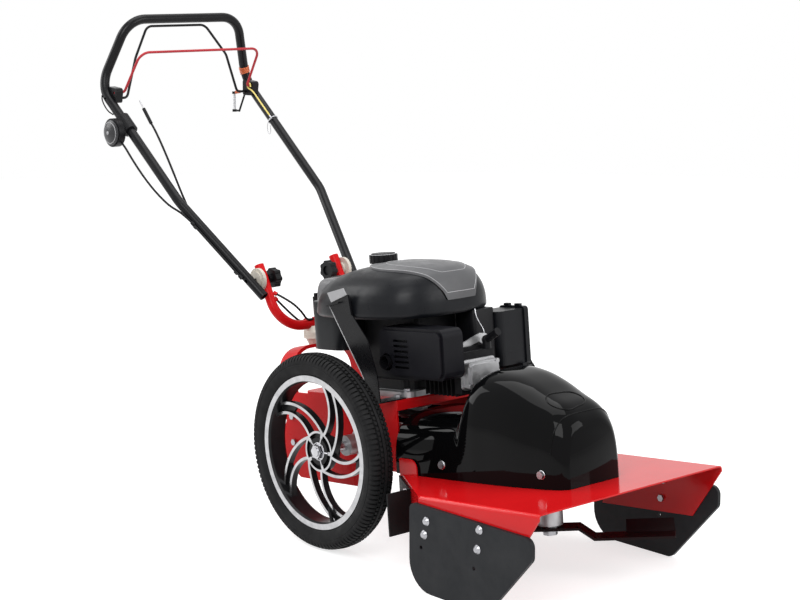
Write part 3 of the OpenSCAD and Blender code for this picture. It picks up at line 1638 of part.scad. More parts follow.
module handlebar() {
 color(black_paint) at_tilt() difference() {
  union() {
   bent_tube(bar_path, bar_bends, bar_r, bar_r - tube_wall);
   both_sides() side_extrude(-lug_out - 2, 3 * lug_t + 4) bail_lug();
   rod_between([bail_x - 24, lug_half + 2, bail_z - 16], spring_foot + spring_side, 2.4);
   rod_between(spring_foot + spring_side, spring_foot, 2.4);
   translate(spring_foot + spring_side) sphere(2.8);
   translate(spring_foot - [0, 0, 3]) cylinder(h = 6, r = spring_r + 2);
   cable_clip(throttle_route[7], throttle_route[8]);
   cable_socket(throttle_route[11], throttle_route[10]);
   cable_clip(bail_route[7], bail_route[8]);
   cable_socket(bail_route[11], bail_route[10]);
  }
  cross_bar(far, stud_r + run_fit);
  for (hinge = [[bail_x, bail_z], [drive_x, drive_z]])
   translate([hinge.x, 0, hinge.y]) cross_bar(far, bail_r + run_fit);
 }
}

// Lug in the handlebar's lower bend, which carries the bails
module bail_lug() {
 polygon(rounded([
  [bail_x + 12, bail_z + 10, 8], [bail_x - 30, bail_z + 14, 6], [bail_x - 30, bail_z - 24, 6],
  [bail_x + 6, bail_z - 24, 6]
 ]));
}

// Path of the red bail from its right end, measured from the tilt axis
red_path = [
 [bail_x, -lug_out, bail_z], [bail_x, -lug_half + 12, bail_z],
 [bail_x + 62, -red_half, bail_z + 94], [bail_x + 62, red_half, bail_z + 94],
 [bail_x, lug_half - 12, bail_z], [bail_x, lug_out, bail_z]
];
red_bends = [8, 26, 26, 8];

module red_bail() {
 color(red_bail_paint) at_tilt() bent_tube(red_path, red_bends, bail_r);
}

// Pivot of the black bail, just below the red one
drive_x = bail_x - 16;
drive_z = bail_z - 14;
black_path = [
 [drive_x, -lug_out, drive_z], [drive_x, -lug_half + 30, drive_z],
 [drive_x - 4, -black_half - 40, drive_z + 92], [drive_x - 24, -black_half + 8, drive_z + 164],
 [drive_x - 24, black_half - 8, drive_z + 164], [drive_x - 4, black_half + 40, drive_z + 92],
 [drive_x, lug_half - 30, drive_z], [drive_x, lug_out, drive_z]
];
black_bends = [12, 40, 26, 26, 40, 12];
tail_tip = [drive_x - 34, lug_half - 13, drive_z - 4];

module black_bail() {
 color(black_paint) at_tilt() {
  bent_tube(black_path, black_bends, bail_r);
  rod_between([drive_x, lug_half - 16, drive_z], tail_tip, 2.4);
  translate(tail_tip + [0, 0, -4]) cylinder(h = 6, r = spring_r + 2);
 }
}

spring_len = 36;
spring_base = tail_tip - [0, 0, 4 + gap + spring_wire + spring_len];
spring_foot = spring_base - [0, 0, spring_wire + gap + 3];
spring_side = [16, 3, 0];
spring_rings = 8;
spring_sides = 6;

function spring_point(k) =
 spring_base + [
  spring_r * cos(360 * k / spring_rings),
  spring_r * sin(360 * k / spring_rings),
  spring_len * k / (spring_turns * spring_rings)
 ];
spring_route = [for (k = [0:spring_turns * spring_rings]) spring_point(k)];
spring_least_gap = min([for (i = [0:len(spring_route) - spring_rings - 1])
 norm(spring_route[i + spring_rings] - spring_route[i])]) - 2 * spring_wire;
echo(spring_least_gap = spring_least_gap);

module return_spring() {
 color(bright_steel) at_tilt() skin(tube_rings(spring_route, spring_wire, spring_sides, [0, 0, 1]));
}

// Throttle control on the outside of the right leg
leg_way = unit(bar_bend - bar_kink);
throttle_at = bar_kink + leg_way * 256 + [0, right * (bar_r + 4), 0];
throttle_t = 16;
clamp_w = 22;
dial_drop = 23;

module at_throttle() {
 at_tilt() translate(throttle_at) rotate([0, atan2(leg_way.z, -leg_way.x), 0]) rotate([90, 0, 0])
  children();
}

module throttle_housing() {
 color(black_paint) difference() {
  union() {
   at_throttle() translate([0, -dial_drop, 0]) {
    cylinder(h = throttle_t, r = throttle_r);
    translate([-14, 0, 0]) cube([28, 30, throttle_t]);
   }
   at_tilt() rod_between(throttle_at - [0, right * (bar_r + 4), 0] - leg_way * clamp_w,
    throttle_at - [0, right * (bar_r + 4), 0] + leg_way * clamp_w, bar_r + 6);
  }
  at_tilt() rod_between(bar_kink, bar_bend, bar_r + seat_fit);
  at_throttle() translate([0, -dial_drop, throttle_t - 10]) cylinder(h = 20, r = 5 + run_fit);
 }
}

module throttle_dial() {
 color(black_paint) at_throttle() translate([0, -dial_drop, throttle_t + gap]) {
  up(-9) cylinder(h = 10, r = 5);
  intersection() {
   up(11 - throttle_r * 1.6) sphere(throttle_r * 1.6, $fn = 64);
   cylinder(h = 20, r = throttle_r - 4);
  }
 }
}

// Cables along the right leg, from the tilt axis; in their clips they lie against the tube
cable_off = bar_r + cable_r + 0.3;
low_way = unit(bar_end - bar_kink);
leg_out = unit(cross(cross(low_way, [0, right, 0]), low_way));
leg_under = cross(low_way, leg_out);
function on_leg(along, side) = bar_kink + low_way * along + side * cable_off;

throttle_route = [
 [-369.2, -231, 286.7], [-352, -230, 272], [-330, -230, 252], [-290, -229, 218], [-246, -227, 186],
 [-200, -222, 158], [-165, -213, 142], on_leg(60, leg_out), on_leg(72, leg_out), on_leg(140, leg_out),
 on_leg(210, leg_out), on_leg(236, leg_out)
];
bail_route = [
 [-306, -192, 334], [-290, -192, 318], [-270, -191, 292], [-246, -190, 258], [-222, -189, 222],
 [-196, -187, 180], [-166, -184, 134], on_leg(62, leg_under), on_leg(76, leg_under),
 on_leg(140, leg_under), on_leg(190, leg_under), on_leg(214, leg_under)
];
adjuster_r = 4;

module control_cables() {
 color(black_paint) at_tilt() {
  skin(tube_rings(throttle_route, cable_r, 8, [0, 1, 0]));
  skin(tube_rings(bail_route, cable_r, 8, [0, 1, 0]));
  rod_between([-334, -192, 365], [-305, -192, 333], adjuster_r);
  rod_between([-350, -192, 383], [-332, -192, 363], 1.6);
 }
}

clip_r = cable_r + 2;

// Sleeve that holds a cable against its tube, open at both ends
module cable_clip(a, b) {
 way = unit(b - a);
 rod_between(a + way, a + way * 9, clip_r, cable_r + gap);
}

// Closed socket over the last end of a cable
module cable_socket(end, from) {
 way = unit(from - end);
 difference() {
  rod_between(end - way * 3, end + way * 6, clip_r);
  rod_between(end - way * gap, end + way * 8, cable_r + gap);
 }
}

base_route_a = [
 [-34.3, -95.4, 74], [-16, -84, 64], [2, -70, 50], [9, -54, 32], [8, -40, 16], [6.9, -30, 12], [6.9, -14, 12]
];
base_route_b = [
 [-34, -94.2, 62], [-25, -82, 46], [-17, -64, 26], [-13, -47, 10.5], [-11.95, -37, 6.9], [-11.95, -23, 6.9]
];

module base_cables() {
 color(black_paint) at_yoke() {
  skin(tube_rings(base_route_a, cable_r, 8, [0, 0, 1]));
  skin(tube_rings(base_route_b, cable_r, 8, [0, 0, 1]));
 }
}

right_tyre();
left_tyre();
right_rim();
left_rim();
axle();
axle_housings();
bearings();
axle_nuts();
drive_gearbox();
gearbox_pulley();
traction_belt();
engine_platform();
right_side_plate();
left_side_plate();
handle_arch();
frame_bolts();
cutter_deck();
rear_flaps();
right_skid();
left_skid();
skid_bolts();
belt_cover();
spindle_housing();
spindle_shaft();
spindle_pulley();
cutter_blade();
blade_nut();
crankshaft();
drive_pulley();
cutter_belt();
idler_arm();
idler_pulley();
engine_base();
engine_block();
rocker_cover();
muffler();
muffler_guard();
engine_shroud();
tank_panel();
fuel_cap();
air_cleaner_case();
air_cleaner_cover();
starter_handle();
spark_plug();
exhaust_shield();
swivel_base();
swivel_head();
yoke_tube();
pivot_discs();
right_knob();
left_knob();
handlebar();
red_bail();
black_bail();
return_spring();
throttle_housing();
throttle_dial();
control_cables();
base_cables();
swivel_lock();
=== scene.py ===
import json
import math

import bmesh
import bpy
from mathutils import Matrix, Vector


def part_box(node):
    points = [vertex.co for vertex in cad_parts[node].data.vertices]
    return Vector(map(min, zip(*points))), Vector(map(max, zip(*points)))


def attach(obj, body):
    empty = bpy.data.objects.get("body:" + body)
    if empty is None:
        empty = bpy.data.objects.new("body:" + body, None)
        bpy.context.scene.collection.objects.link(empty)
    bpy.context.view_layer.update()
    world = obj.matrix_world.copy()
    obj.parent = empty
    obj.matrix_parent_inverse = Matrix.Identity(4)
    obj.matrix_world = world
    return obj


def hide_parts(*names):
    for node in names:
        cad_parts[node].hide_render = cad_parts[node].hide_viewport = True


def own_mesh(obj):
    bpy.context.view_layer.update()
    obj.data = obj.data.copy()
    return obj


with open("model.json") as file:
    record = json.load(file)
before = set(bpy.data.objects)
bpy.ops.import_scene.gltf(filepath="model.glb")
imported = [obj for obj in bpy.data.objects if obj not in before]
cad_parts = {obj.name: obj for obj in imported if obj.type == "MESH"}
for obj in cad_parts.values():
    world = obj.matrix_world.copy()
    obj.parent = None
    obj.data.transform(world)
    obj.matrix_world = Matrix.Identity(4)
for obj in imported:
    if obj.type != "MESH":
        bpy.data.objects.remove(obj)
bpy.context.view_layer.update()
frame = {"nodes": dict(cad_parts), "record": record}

nodes = frame["nodes"]
scene = bpy.context.scene

# Places shared with the CAD model, in metres: the axle, the handle's tilt axis and the foot of the yoke
wheel_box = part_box("right_tyre")
AXLE = Vector(((wheel_box[0][0] + wheel_box[1][0]) / 2, 0.0, (wheel_box[0][2] + wheel_box[1][2]) / 2))
WHEEL_R = (wheel_box[1][0] - wheel_box[0][0]) / 2
joints = {j["name"]: j for j in frame["record"]["behaviour"]["joints"]}
TILT = Vector(joints["handle_tilt"]["pos_m"])
# The chassis stands nose up by PITCH, and the yoke leans back
PITCH = math.radians(5.8)
YOKE_LEAN, YOKE_REACH = math.radians(29), 0.119
YOKE = TILT + Vector((YOKE_REACH * math.sin(YOKE_LEAN), 0, -YOKE_REACH * math.cos(YOKE_LEAN)))
# The crank's middle on top of the platform, in mm of the chassis frame
CRANK_X, PLATFORM_TOP = 40, 96


def chassis(x, y, z):
    """A point of the chassis frame, in mm, as a place in the scene."""
    c, s = math.cos(PITCH), math.sin(PITCH)
    return AXLE + Vector((x * c - z * s, y, x * s + z * c)) / 1000


def engine(x, y, z):
    """A point of the engine frame, in mm from the crank's middle on the platform."""
    return chassis(x + CRANK_X, y, z + PLATFORM_TOP)


def from_tilt(x, y, z):
    """A point in mm from the middle of the tilt axis."""
    return TILT + Vector((x, y, z)) / 1000


def from_yoke(x, y, z):
    """A point in mm from the foot of the yoke."""
    return YOKE + Vector((x, y, z)) / 1000


# Camera at the photograph's viewing angle

CAMERA_YAW, CAMERA_PITCH = math.radians(48.295), math.radians(10.064)
CAMERA_SPOT = Vector((AXLE.x + 2.9629, -2.6504, 1.2046))
SENSOR_MM, FOCAL_PIXELS, PHOTO_WIDTH = 36, 1890.9, 800


def add_camera():
    level = math.cos(CAMERA_PITCH)
    back = Vector((math.sin(CAMERA_YAW) * level, -math.cos(CAMERA_YAW) * level, math.sin(CAMERA_PITCH)))
    right = (-back).cross(Vector((0, 0, 1))).normalized()
    up = back.cross(right)
    data = bpy.data.cameras.new("camera")
    data.sensor_width = SENSOR_MM
    data.lens = SENSOR_MM * FOCAL_PIXELS / PHOTO_WIDTH
    data.clip_end = 60
    camera = bpy.data.objects.new("camera", data)
    scene.collection.objects.link(camera)
    camera.matrix_world = Matrix((
        (right.x, up.x, back.x, CAMERA_SPOT.x),
        (right.y, up.y, back.y, CAMERA_SPOT.y),
        (right.z, up.z, back.z, CAMERA_SPOT.z),
        (0, 0, 0, 1),
    ))
    scene.camera = camera


add_camera()


# Materials

class Build:
    """Small helper that writes one node material."""

    def __init__(self, name, color, rough, metal=0.0, coat=0.0, coat_rough=0.05, specular=0.5):
        self.material = bpy.data.materials.new(name)
        self.material.use_nodes = True
        self.tree = self.material.node_tree
        self.shader = self.tree.nodes["Principled BSDF"]
        self.set("Base Color", (*color, 1))
        self.set("Roughness", rough)
        self.set("Metallic", metal)
        self.set("Coat Weight", coat)
        self.set("Coat Roughness", coat_rough)
        self.set("Specular IOR Level", specular)
        self.color, self.rough = color, rough
        self.coords = self.add("ShaderNodeTexCoord").outputs["Object"]

    def set(self, socket, value):
        self.shader.inputs[socket].default_value = value

    def add(self, kind, **options):
        made = self.tree.nodes.new(kind)
        for key, value in options.items():
            setattr(made, key, value)
        return made

    def link(self, out, to):
        self.tree.links.new(out, to)

    def noise(self, scale, detail=3.0, rough=0.5, stretch=None):
        made = self.add("ShaderNodeTexNoise")
        made.inputs["Scale"].default_value = scale
        made.inputs["Detail"].default_value = detail
        made.inputs["Roughness"].default_value = rough
        place = self.coords
        if stretch:
            mapping = self.add("ShaderNodeMapping")
            mapping.inputs["Scale"].default_value = stretch
            self.link(self.coords, mapping.inputs["Vector"])
            place = mapping.outputs["Vector"]
        self.link(place, made.inputs["Vector"])
        return made.outputs["Fac"]

    def ramp(self, value, low, high, a, b):
        made = self.add("ShaderNodeMapRange")
        made.clamp = True
        for key, number in zip(("From Min", "From Max", "To Min", "To Max"), (low, high, a, b)):
            made.inputs[key].default_value = number
        self.link(value, made.inputs["Value"])
        return made.outputs["Result"]

    def mix(self, factor, a, b):
        made = self.add("ShaderNodeMix", data_type="RGBA")
        for key, value in (("A", a), ("B", b)):
            socket = [i for i in made.inputs if i.name == key and i.type == "RGBA"][0]
            if isinstance(value, tuple):
                socket.default_value = (*value, 1)
            else:
                self.link(value, socket)
        self.link(factor, [i for i in made.inputs if i.name == "Factor" and i.type == "VALUE"][0])
        return [o for o in made.outputs if o.type == "RGBA"][0]

    def math(self, operation, a, b=None):
        made = self.add("ShaderNodeMath", operation=operation)
        for socket, value in zip(made.inputs, (a, b)):
            if value is None:
                continue
            if isinstance(value, (int, float)):
                socket.default_value = value
            else:
                self.link(value, socket)
        return made.outputs[0]

    def bump(self, value, strength, distance):
        made = self.add("ShaderNodeBump")
        made.inputs["Strength"].default_value = strength
        made.inputs["Distance"].default_value = distance
        self.link(value, made.inputs["Height"])
        self.link(made.outputs["Normal"], self.shader.inputs["Normal"])

    def tint(self, scale, other, low=0.42, high=0.62):
        """Varies the colour towards another one over the surface."""
        factor = self.ramp(self.noise(scale, 4.0, 0.55), low, high, 0.0, 1.0)
        self.link(self.mix(factor, self.color, other), self.shader.inputs["Base Color"])

    def rough_noise(self, scale, spread, stretch=None):
        """Varies the roughness by up to the spread either way."""
        value = self.noise(scale, 4.0, 0.6, stretch)
        self.link(self.ramp(value, 0.3, 0.7, self.rough - spread, self.rough + spread),
                  self.shader.inputs["Roughness"])


def paint(name, color, other, rough, coat, peel=0.04, specular=0.5):
    m = Build(name, color, rough, coat=coat, coat_rough=0.08, specular=specular)
    m.tint(9, other, 0.35, 0.75)
    m.rough_noise(30, min(0.06, rough / 2))
    m.bump(m.noise(420, 2.0), peel, 0.0006)
    return m.material


def plastic(name, color, other, rough, grain, depth, specular):
    m = Build(name, color, rough, specular=specular)
    m.tint(14, other, 0.35, 0.7)
    m.rough_noise(45, 0.08)
    m.bump(m.noise(grain, 2.0), depth, 0.0004)
    return m.material


def cast(name, color, other, rough, metal, depth=0.25, specular=0.5):
    m = Build(name, color, rough, metal=metal, specular=specular)
    m.tint(24, other, 0.38, 0.68)
    m.rough_noise(60, 0.1)
    m.bump(m.noise(650, 4.0, 0.65), depth, 0.0006)
    return m.material


def steel(name, color, rough=0.26):
    m = Build(name, color, rough, metal=1.0)
    m.tint(40, tuple(c * 0.8 for c in color), 0.35, 0.7)
    m.rough_noise(120, 0.08, (1, 1, 14))
    m.bump(m.noise(500, 3.0, 0.5, (1, 1, 12)), 0.06, 0.0003)
    return m.material


def rubber(name, color, other):
    m = Build(name, color, 0.62, specular=0.12)
    m.tint(18, other, 0.4, 0.72)
    m.rough_noise(55, 0.1)
    m.bump(m.noise(520, 4.0, 0.6), 0.22, 0.0006)
    return m.material


# Where a rim's outer faces begin, in metres from the object's middle plane
RIM_FACE = (0.2315, 0.2325)
# Top of the engine's base flange, in mm of the engine frame
FLANGE_TOP = 12.5


def wheel_rim(name):
    """Cast wheel with bare machined outer faces and black painted sides and wells."""
    m = Build(name, (0.46, 0.46, 0.47), 0.3, specular=0.2)
    normal = m.add("ShaderNodeTexCoord").outputs["Normal"]
    split_n = m.add("ShaderNodeSeparateXYZ")
    m.link(normal, split_n.inputs[0])
    split_p = m.add("ShaderNodeSeparateXYZ")
    m.link(m.coords, split_p.inputs[0])
    facing = m.ramp(m.math("ABSOLUTE", split_n.outputs["Y"]), 0.80, 0.86, 0.0, 1.0)
    proud = m.ramp(m.math("ABSOLUTE", split_p.outputs["Y"]), *RIM_FACE, 0.0, 1.0)
    bare = m.math("MULTIPLY", facing, proud)
    wear = m.ramp(m.noise(60, 4.0), 0.3, 0.7, 0.25, 1.0)
    silver = m.mix(wear, (0.30, 0.30, 0.31), (0.46, 0.46, 0.47))
    black = m.mix(m.noise(60, 3.0), (0.005, 0.005, 0.006), (0.011, 0.011, 0.012))
    m.link(m.mix(bare, black, silver), m.shader.inputs["Base Color"])
    m.link(m.ramp(bare, 0, 1, 0.0, 1.0), m.shader.inputs["Metallic"])
    m.link(m.math("ADD", m.ramp(bare, 0, 1, 0.34, 0.2), m.ramp(m.noise(90, 3.0), 0.3, 0.7, -0.05, 0.06)),
           m.shader.inputs["Roughness"])
    m.bump(m.noise(700, 3.0), 0.08, 0.0004)
    return m.material


def sump(name, flange):
    """Sump near black above a bare silver flange, split at a height of the engine frame: partly dark cast,
    partly painted shade under the shroud.
    """
    m = Build(name, (0.36, 0.36, 0.37), 0.42, specular=0.15)
    spot = m.add("ShaderNodeSeparateXYZ")
    m.link(m.coords, spot.inputs[0])
    foot = engine(0, 0, flange)
    rise = m.math("ADD", m.math("MULTIPLY", spot.outputs["X"], -math.tan(PITCH)), spot.outputs["Z"])
    edge = foot.z - foot.x * math.tan(PITCH)
    # Near black above the flange: partly dark cast, partly painted shade under the shroud
    dark = m.ramp(rise, edge - 0.0004, edge + 0.0004, 0.0, 1.0)
    silver = m.mix(m.ramp(m.noise(24, 4.0), 0.38, 0.68, 0.0, 1.0), (0.44, 0.44, 0.45), (0.34, 0.34, 0.35))
    m.link(m.mix(dark, silver, (0.010, 0.010, 0.011)), m.shader.inputs["Base Color"])
    m.link(m.ramp(dark, 0.0, 1.0, 0.9, 0.0), m.shader.inputs["Metallic"])
    m.rough_noise(60, 0.1)
    m.bump(m.noise(650, 4.0, 0.65), 0.25, 0.0006)
    return m.material


red = paint("red_paint", (0.58, 0.007, 0.009), (0.52, 0.005, 0.007), 0.12, 0.0, 0.008, 0.20)
frame_red = paint("frame_red", (0.56, 0.007, 0.009), (0.49, 0.005, 0.007), 0.30, 0.0, 0.012, 0.10)
red_coat = paint("red_coat", (0.44, 0.030, 0.040), (0.36, 0.022, 0.030), 0.40, 0.0, 0.03, 0.20)
black_paint = paint("black_paint", (0.004, 0.004, 0.005), (0.007, 0.007, 0.008), 0.28, 0.0, 0.03, 0.16)
guard_paint = paint("guard_paint", (0.004, 0.004, 0.006), (0.007, 0.007, 0.009), 0.40, 0.0, 0.05, 0.12)
# Blade: dark paint, darkened further as painted shade under the deck
blade_paint_and_shade = paint("blade_paint_and_shade", (0.010, 0.003, 0.004), (0.006, 0.003, 0.003), 0.45, 0.0, 0.08, 0.1)
gloss_black = paint("gloss_cover", (0.0016, 0.0017, 0.0019), (0.0022, 0.0022, 0.0026), 0.04, 0.0, 0.005, 0.09)
shroud = plastic("shroud_plastic", (0.0045, 0.0050, 0.0065), (0.0065, 0.0072, 0.0090), 0.34, 1100, 0.10, 0.16)
panel = plastic("panel_plastic", (0.078, 0.079, 0.083), (0.098, 0.098, 0.102), 0.38, 1500, 0.10, 0.26)
# Light grey for the shield's clip, and for painted highlights on edges, rims and a groove
grey_trim_and_highlight = plastic("grey_trim_and_highlight", (0.30, 0.30, 0.31), (0.36, 0.36, 0.37), 0.35, 900, 0.1, 0.5)
mid_grey = plastic("mid_grey", (0.11, 0.11, 0.115), (0.14, 0.14, 0.145), 0.42, 900, 0.14, 0.3)
black_plastic = plastic("black_plastic", (0.004, 0.004, 0.005), (0.007, 0.007, 0.008), 0.40, 900, 0.14, 0.15)
dial_plastic = plastic("dial_plastic", (0.020, 0.020, 0.022), (0.030, 0.030, 0.032), 0.34, 900, 0.14, 0.3)
skid_plastic = plastic("skid_plastic", (0.010, 0.011, 0.013), (0.016, 0.017, 0.019), 0.5, 700, 0.14, 0.15)
cream = cast("cream_cast", (0.60, 0.56, 0.49), (0.50, 0.46, 0.40), 0.5, 0.1, 0.2)
silver_cast = cast("cast_silver", (0.46, 0.46, 0.47), (0.36, 0.36, 0.37), 0.4, 0.9)
# Engine block: dark cast, darkened to near black as painted shade under the shroud
dark_cast_and_shade = cast("dark_cast_and_shade", (0.005, 0.005, 0.006), (0.010, 0.010, 0.011), 0.5, 0.0, 0.25, 0.1)
base_cast = sump("base_cast", FLANGE_TOP)
bright = steel("bright_steel", (0.50, 0.50, 0.52))
bolt_steel = steel("bolt_steel", (0.36, 0.36, 0.38), 0.32)
tyre_rubber = rubber("tyre_rubber", (0.0065, 0.0065, 0.0070), (0.0110, 0.0110, 0.0115))
flap_rubber = rubber("flap_rubber", (0.0065, 0.0065, 0.0070), (0.0100, 0.0100, 0.0105))
rim_metal = wheel_rim("rim_metal")
yellow = paint("yellow_paint", (0.78, 0.66, 0.20), (0.68, 0.54, 0.12), 0.4, 0.1)
orange = paint("orange_wire", (0.72, 0.17, 0.05), (0.60, 0.11, 0.03), 0.42, 0.1)

DRESS = {
    "right_tyre": tyre_rubber, "left_tyre": tyre_rubber, "right_rim": rim_metal, "left_rim": rim_metal,
    "axle": bright, "axle_housings": silver_cast, "bearings": bright, "axle_nuts": bright,
    "drive_gearbox": silver_cast, "gearbox_pulley": silver_cast, "traction_belt": flap_rubber,
    "engine_platform": frame_red, "right_side_plate": frame_red, "left_side_plate": frame_red,
    "handle_arch": frame_red, "frame_bolts": bolt_steel, "cutter_deck": red, "rear_flaps": flap_rubber,
    "right_skid": skid_plastic, "left_skid": skid_plastic, "skid_bolts": bolt_steel,
    "belt_cover": gloss_black, "spindle_housing": silver_cast, "spindle_shaft": bright,
    "spindle_pulley": silver_cast, "cutter_blade": blade_paint_and_shade, "blade_nut": bolt_steel,
    "crankshaft": bright, "drive_pulley": silver_cast, "cutter_belt": flap_rubber, "idler_arm": black_paint,
    "idler_pulley": black_plastic, "engine_base": base_cast, "engine_block": dark_cast_and_shade,
    "rocker_cover": silver_cast, "muffler": black_paint, "muffler_guard": guard_paint,
    "engine_shroud": shroud, "tank_panel": panel, "fuel_cap": black_plastic, "air_cleaner_case": shroud,
    "air_cleaner_cover": shroud,
    "starter_handle": black_plastic, "spark_plug": black_plastic, "exhaust_shield": black_paint,
    "swivel_base": cream, "swivel_head": cream, "yoke_tube": frame_red, "pivot_discs": cream,
    "right_knob": black_plastic, "left_knob": black_plastic, "handlebar": black_paint, "red_bail": red_coat,
    "black_bail": black_paint, "return_spring": bright, "throttle_housing": black_plastic,
    "throttle_dial": dial_plastic, "control_cables": black_plastic, "base_cables": black_plastic,
    "swivel_lock": black_plastic,
}
for name, obj in nodes.items():
    obj.data.materials.clear()
    obj.data.materials.append(DRESS[name])


# Pieces made here

def new_mesh(name, vertices, faces, material, body, soft=True):
    """Mesh piece that rides on a body, with its material."""
    data = bpy.data.meshes.new(name)
    data.from_pydata([tuple(v) for v in vertices], [], faces)
    data.update()
    if soft:
        data.polygons.foreach_set("use_smooth", [True] * len(data.polygons))
    data.materials.append(material)
    obj = bpy.data.objects.new(name, data)
    scene.collection.objects.link(obj)
    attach(obj, body)
    return obj


# Tyres, in metres
TREAD_BLOCKS, TREAD_DEPTH = 120, 0.004
CROWN_DROP = 0.003
SHOULDER_BEND, SHOULDER_SINK, SHOULDER_STEPS, SHOULDER_EASE = 0.015, 0.0002, 8, 0.7
# Where the wall begins: below the shoulder's middle, and in from the tyre's side
WALL_DROP, WALL_IN = 0.0012, 0.0001
# Columns of one tread pitch: where it lies, and whether the edge and the middle blocks are cut away there
TREAD_COLUMNS = ((0.0, 0, 0), (0.02, 1, 0), (0.34, 1, 0), (0.36, 0, 1), (0.70, 0, 1), (0.72, 0, 0))
# Lanes of the tread, by their distance from the tyre's middle
TREAD_LANES = ((0.0, "rib"), (0.0033, "rib"), (0.0036, "slot"), (0.0054, "slot"), (0.0057, "middle"),
               (0.0085, "middle"), (0.0112, "middle"), (0.0115, "slot"), (0.0130, "slot"), (0.0133, "edge"))
# Wall with its bead line: radius, and distance in from the tyre's side
WALL_LINE = ((0.1868, 0.0), (0.1862, 0.0006), (0.1845, 0.0006), (0.1839, 0.0), (0.1790, 0.0001),
             (0.1750, 0.0006), (0.1720, 0.0014), (0.1690, 0.0026), (0.1665, 0.0038), (0.1645, 0.0050),
             (0.1632, 0.0068), (0.1626, 0.0095), (0.1600, 0.0110))


def tyre_profile(half):
    """Half section of the tyre from its middle to its bead.

    Each point is its radius, its distance from the middle, its lane and its share of the tread's depth.
    """
    def crown(y):
        return WHEEL_R - CROWN_DROP * y / half

    line = [(crown(y), y, lane, 1.0) for y, lane in TREAD_LANES]
    turn = crown(half) - SHOULDER_BEND
    for k in range(SHOULDER_STEPS + 1):
        share = k / SHOULDER_STEPS
        a = share * math.pi / 2
        cut = 1 - SHOULDER_EASE * share ** 2
        line.append((turn + SHOULDER_BEND * math.cos(a) - SHOULDER_SINK,
                     half - SHOULDER_BEND + SHOULDER_BEND * math.sin(a), "edge", cut))
    line.append((turn - WALL_DROP, half - WALL_IN, "wall", 0))
    line += [(r, half - inset, "wall", 0) for r, inset in WALL_LINE]
    return line


def tyre_mesh(body, node):
    """Tyre with a block tread, a bead line on its walls and the CAD tyre's outline."""
    low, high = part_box(node)
    mid, half = (low[1] + high[1]) / 2, (high[1] - low[1]) / 2
    side = tyre_profile(half)
    section = [(r, -y, lane, cut) for r, y, lane, cut in reversed(side)] + side[1:]
    vertices, faces = [], []
    columns = [(block + part, edge, middle)
               for block in range(TREAD_BLOCKS) for part, edge, middle in TREAD_COLUMNS]
    for place, edge, middle in columns:
        angle = 2 * math.pi * place / TREAD_BLOCKS
        for r, y, lane, cut in section:
            cut_here = {"slot": 1, "edge": edge, "middle": middle}.get(lane, 0)
            radius = r - TREAD_DEPTH * cut * cut_here
            vertices.append((AXLE.x + radius * math.cos(angle), mid + y, AXLE.z + radius * math.sin(angle)))
    n, count = len(section), len(columns)
    for i in range(count):
        for j in range(n):
            a, b = i * n, (i + 1) % count * n
            faces.append((a + j, b + j, b + (j + 1) % n, a + (j + 1) % n))
    obj = new_mesh(node + "_tread", vertices, faces, tyre_rubber, body)
    obj.data.set_sharp_from_angle(angle=math.radians(35))
    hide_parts(node)


tyre_mesh("right_wheel", "right_tyre")
tyre_mesh("left_wheel", "left_tyre")


def smooth(points, steps=6):
    """Points on one smooth curve through the given ones."""
    out = []
    for i in range(len(points) - 1):
        p0, p1 = points[max(i - 1, 0)], points[i]
        p2, p3 = points[i + 1], points[min(i + 2, len(points) - 1)]
        for k in range(steps):
            t = k / steps
            out.append(0.5 * (2 * p1 + (p2 - p0) * t + (2 * p0 - 5 * p1 + 4 * p2 - p3) * t * t
                              + (3 * p1 - p0 - 3 * p2 + p3) * t ** 3))
    out.append(points[-1].copy())
    return out


def tube(name, points, radius, body, material):
    """Round bar or cable along a line of points, with capped ends."""
    data = bpy.data.curves.new(name, "CURVE")
    data.dimensions = "3D"
    data.bevel_depth = radius
    data.bevel_resolution = 4
    data.use_fill_caps = True
    spline = data.splines.new("POLY")
    spline.points.add(len(points) - 1)
    for spot, place in zip(spline.points, points):
        spot.co = (*place, 1)
    spline.use_smooth = True
    data.materials.append(material)
    obj = bpy.data.objects.new(name, data)
    scene.collection.objects.link(obj)
    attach(obj, body)
    return obj


# Cables, in mm from the tilt axis or the yoke's foot. Two lie along the handlebar's near leg
CABLE_R, ADJUSTER_R, WIRE_R = 0.0025, 0.004, 0.0016
# The bar's radius, the cable's and a gap of 0.3
LEG_OFFSET = 13.8
BAR_KINK = Vector((-182, -205, 164))
BAR_END = Vector((36, -135, -32))
LOW_WAY = (BAR_END - BAR_KINK).normalized()
LEG_OUT = LOW_WAY.cross(Vector((0, -1, 0))).cross(LOW_WAY).normalized()
LEG_UNDER = LOW_WAY.cross(LEG_OUT)


def on_leg(along, side):
    """A point on the lower leg, past its kink, on the side that the vector points to."""
    return BAR_KINK + LOW_WAY * along + side * LEG_OFFSET


THROTTLE = [(-369.2, -231, 286.7), (-352, -230, 272), (-330, -230, 252), (-290, -229, 218), (-246, -227, 186),
            (-200, -222, 158), (-165, -213, 142),
            *(on_leg(along, LEG_OUT) for along in (60, 72, 140, 210, 236))]
BAIL = [(-306, -192, 334), (-290, -192, 318), (-270, -191, 292), (-246, -190, 258), (-222, -189, 222),
        (-196, -187, 180), (-166, -184, 134),
        *(on_leg(along, LEG_UNDER) for along in (62, 76, 140, 190, 214))]
BASE_A = [(-34.3, -95.4, 74), (-16, -84, 64), (2, -70, 50), (9, -54, 32), (8, -40, 16), (6.9, -30, 12),
          (6.9, -14, 12)]
BASE_B = [(-34, -94.2, 62), (-25, -82, 46), (-17, -64, 26), (-13, -47, 10.5), (-11.95, -37, 6.9),
          (-11.95, -23, 6.9)]
ADJUSTER = [(-334, -192, 365), (-305, -192, 333)]
BARE_WIRE = [(-350, -192, 383), (-332, -192, 363)]


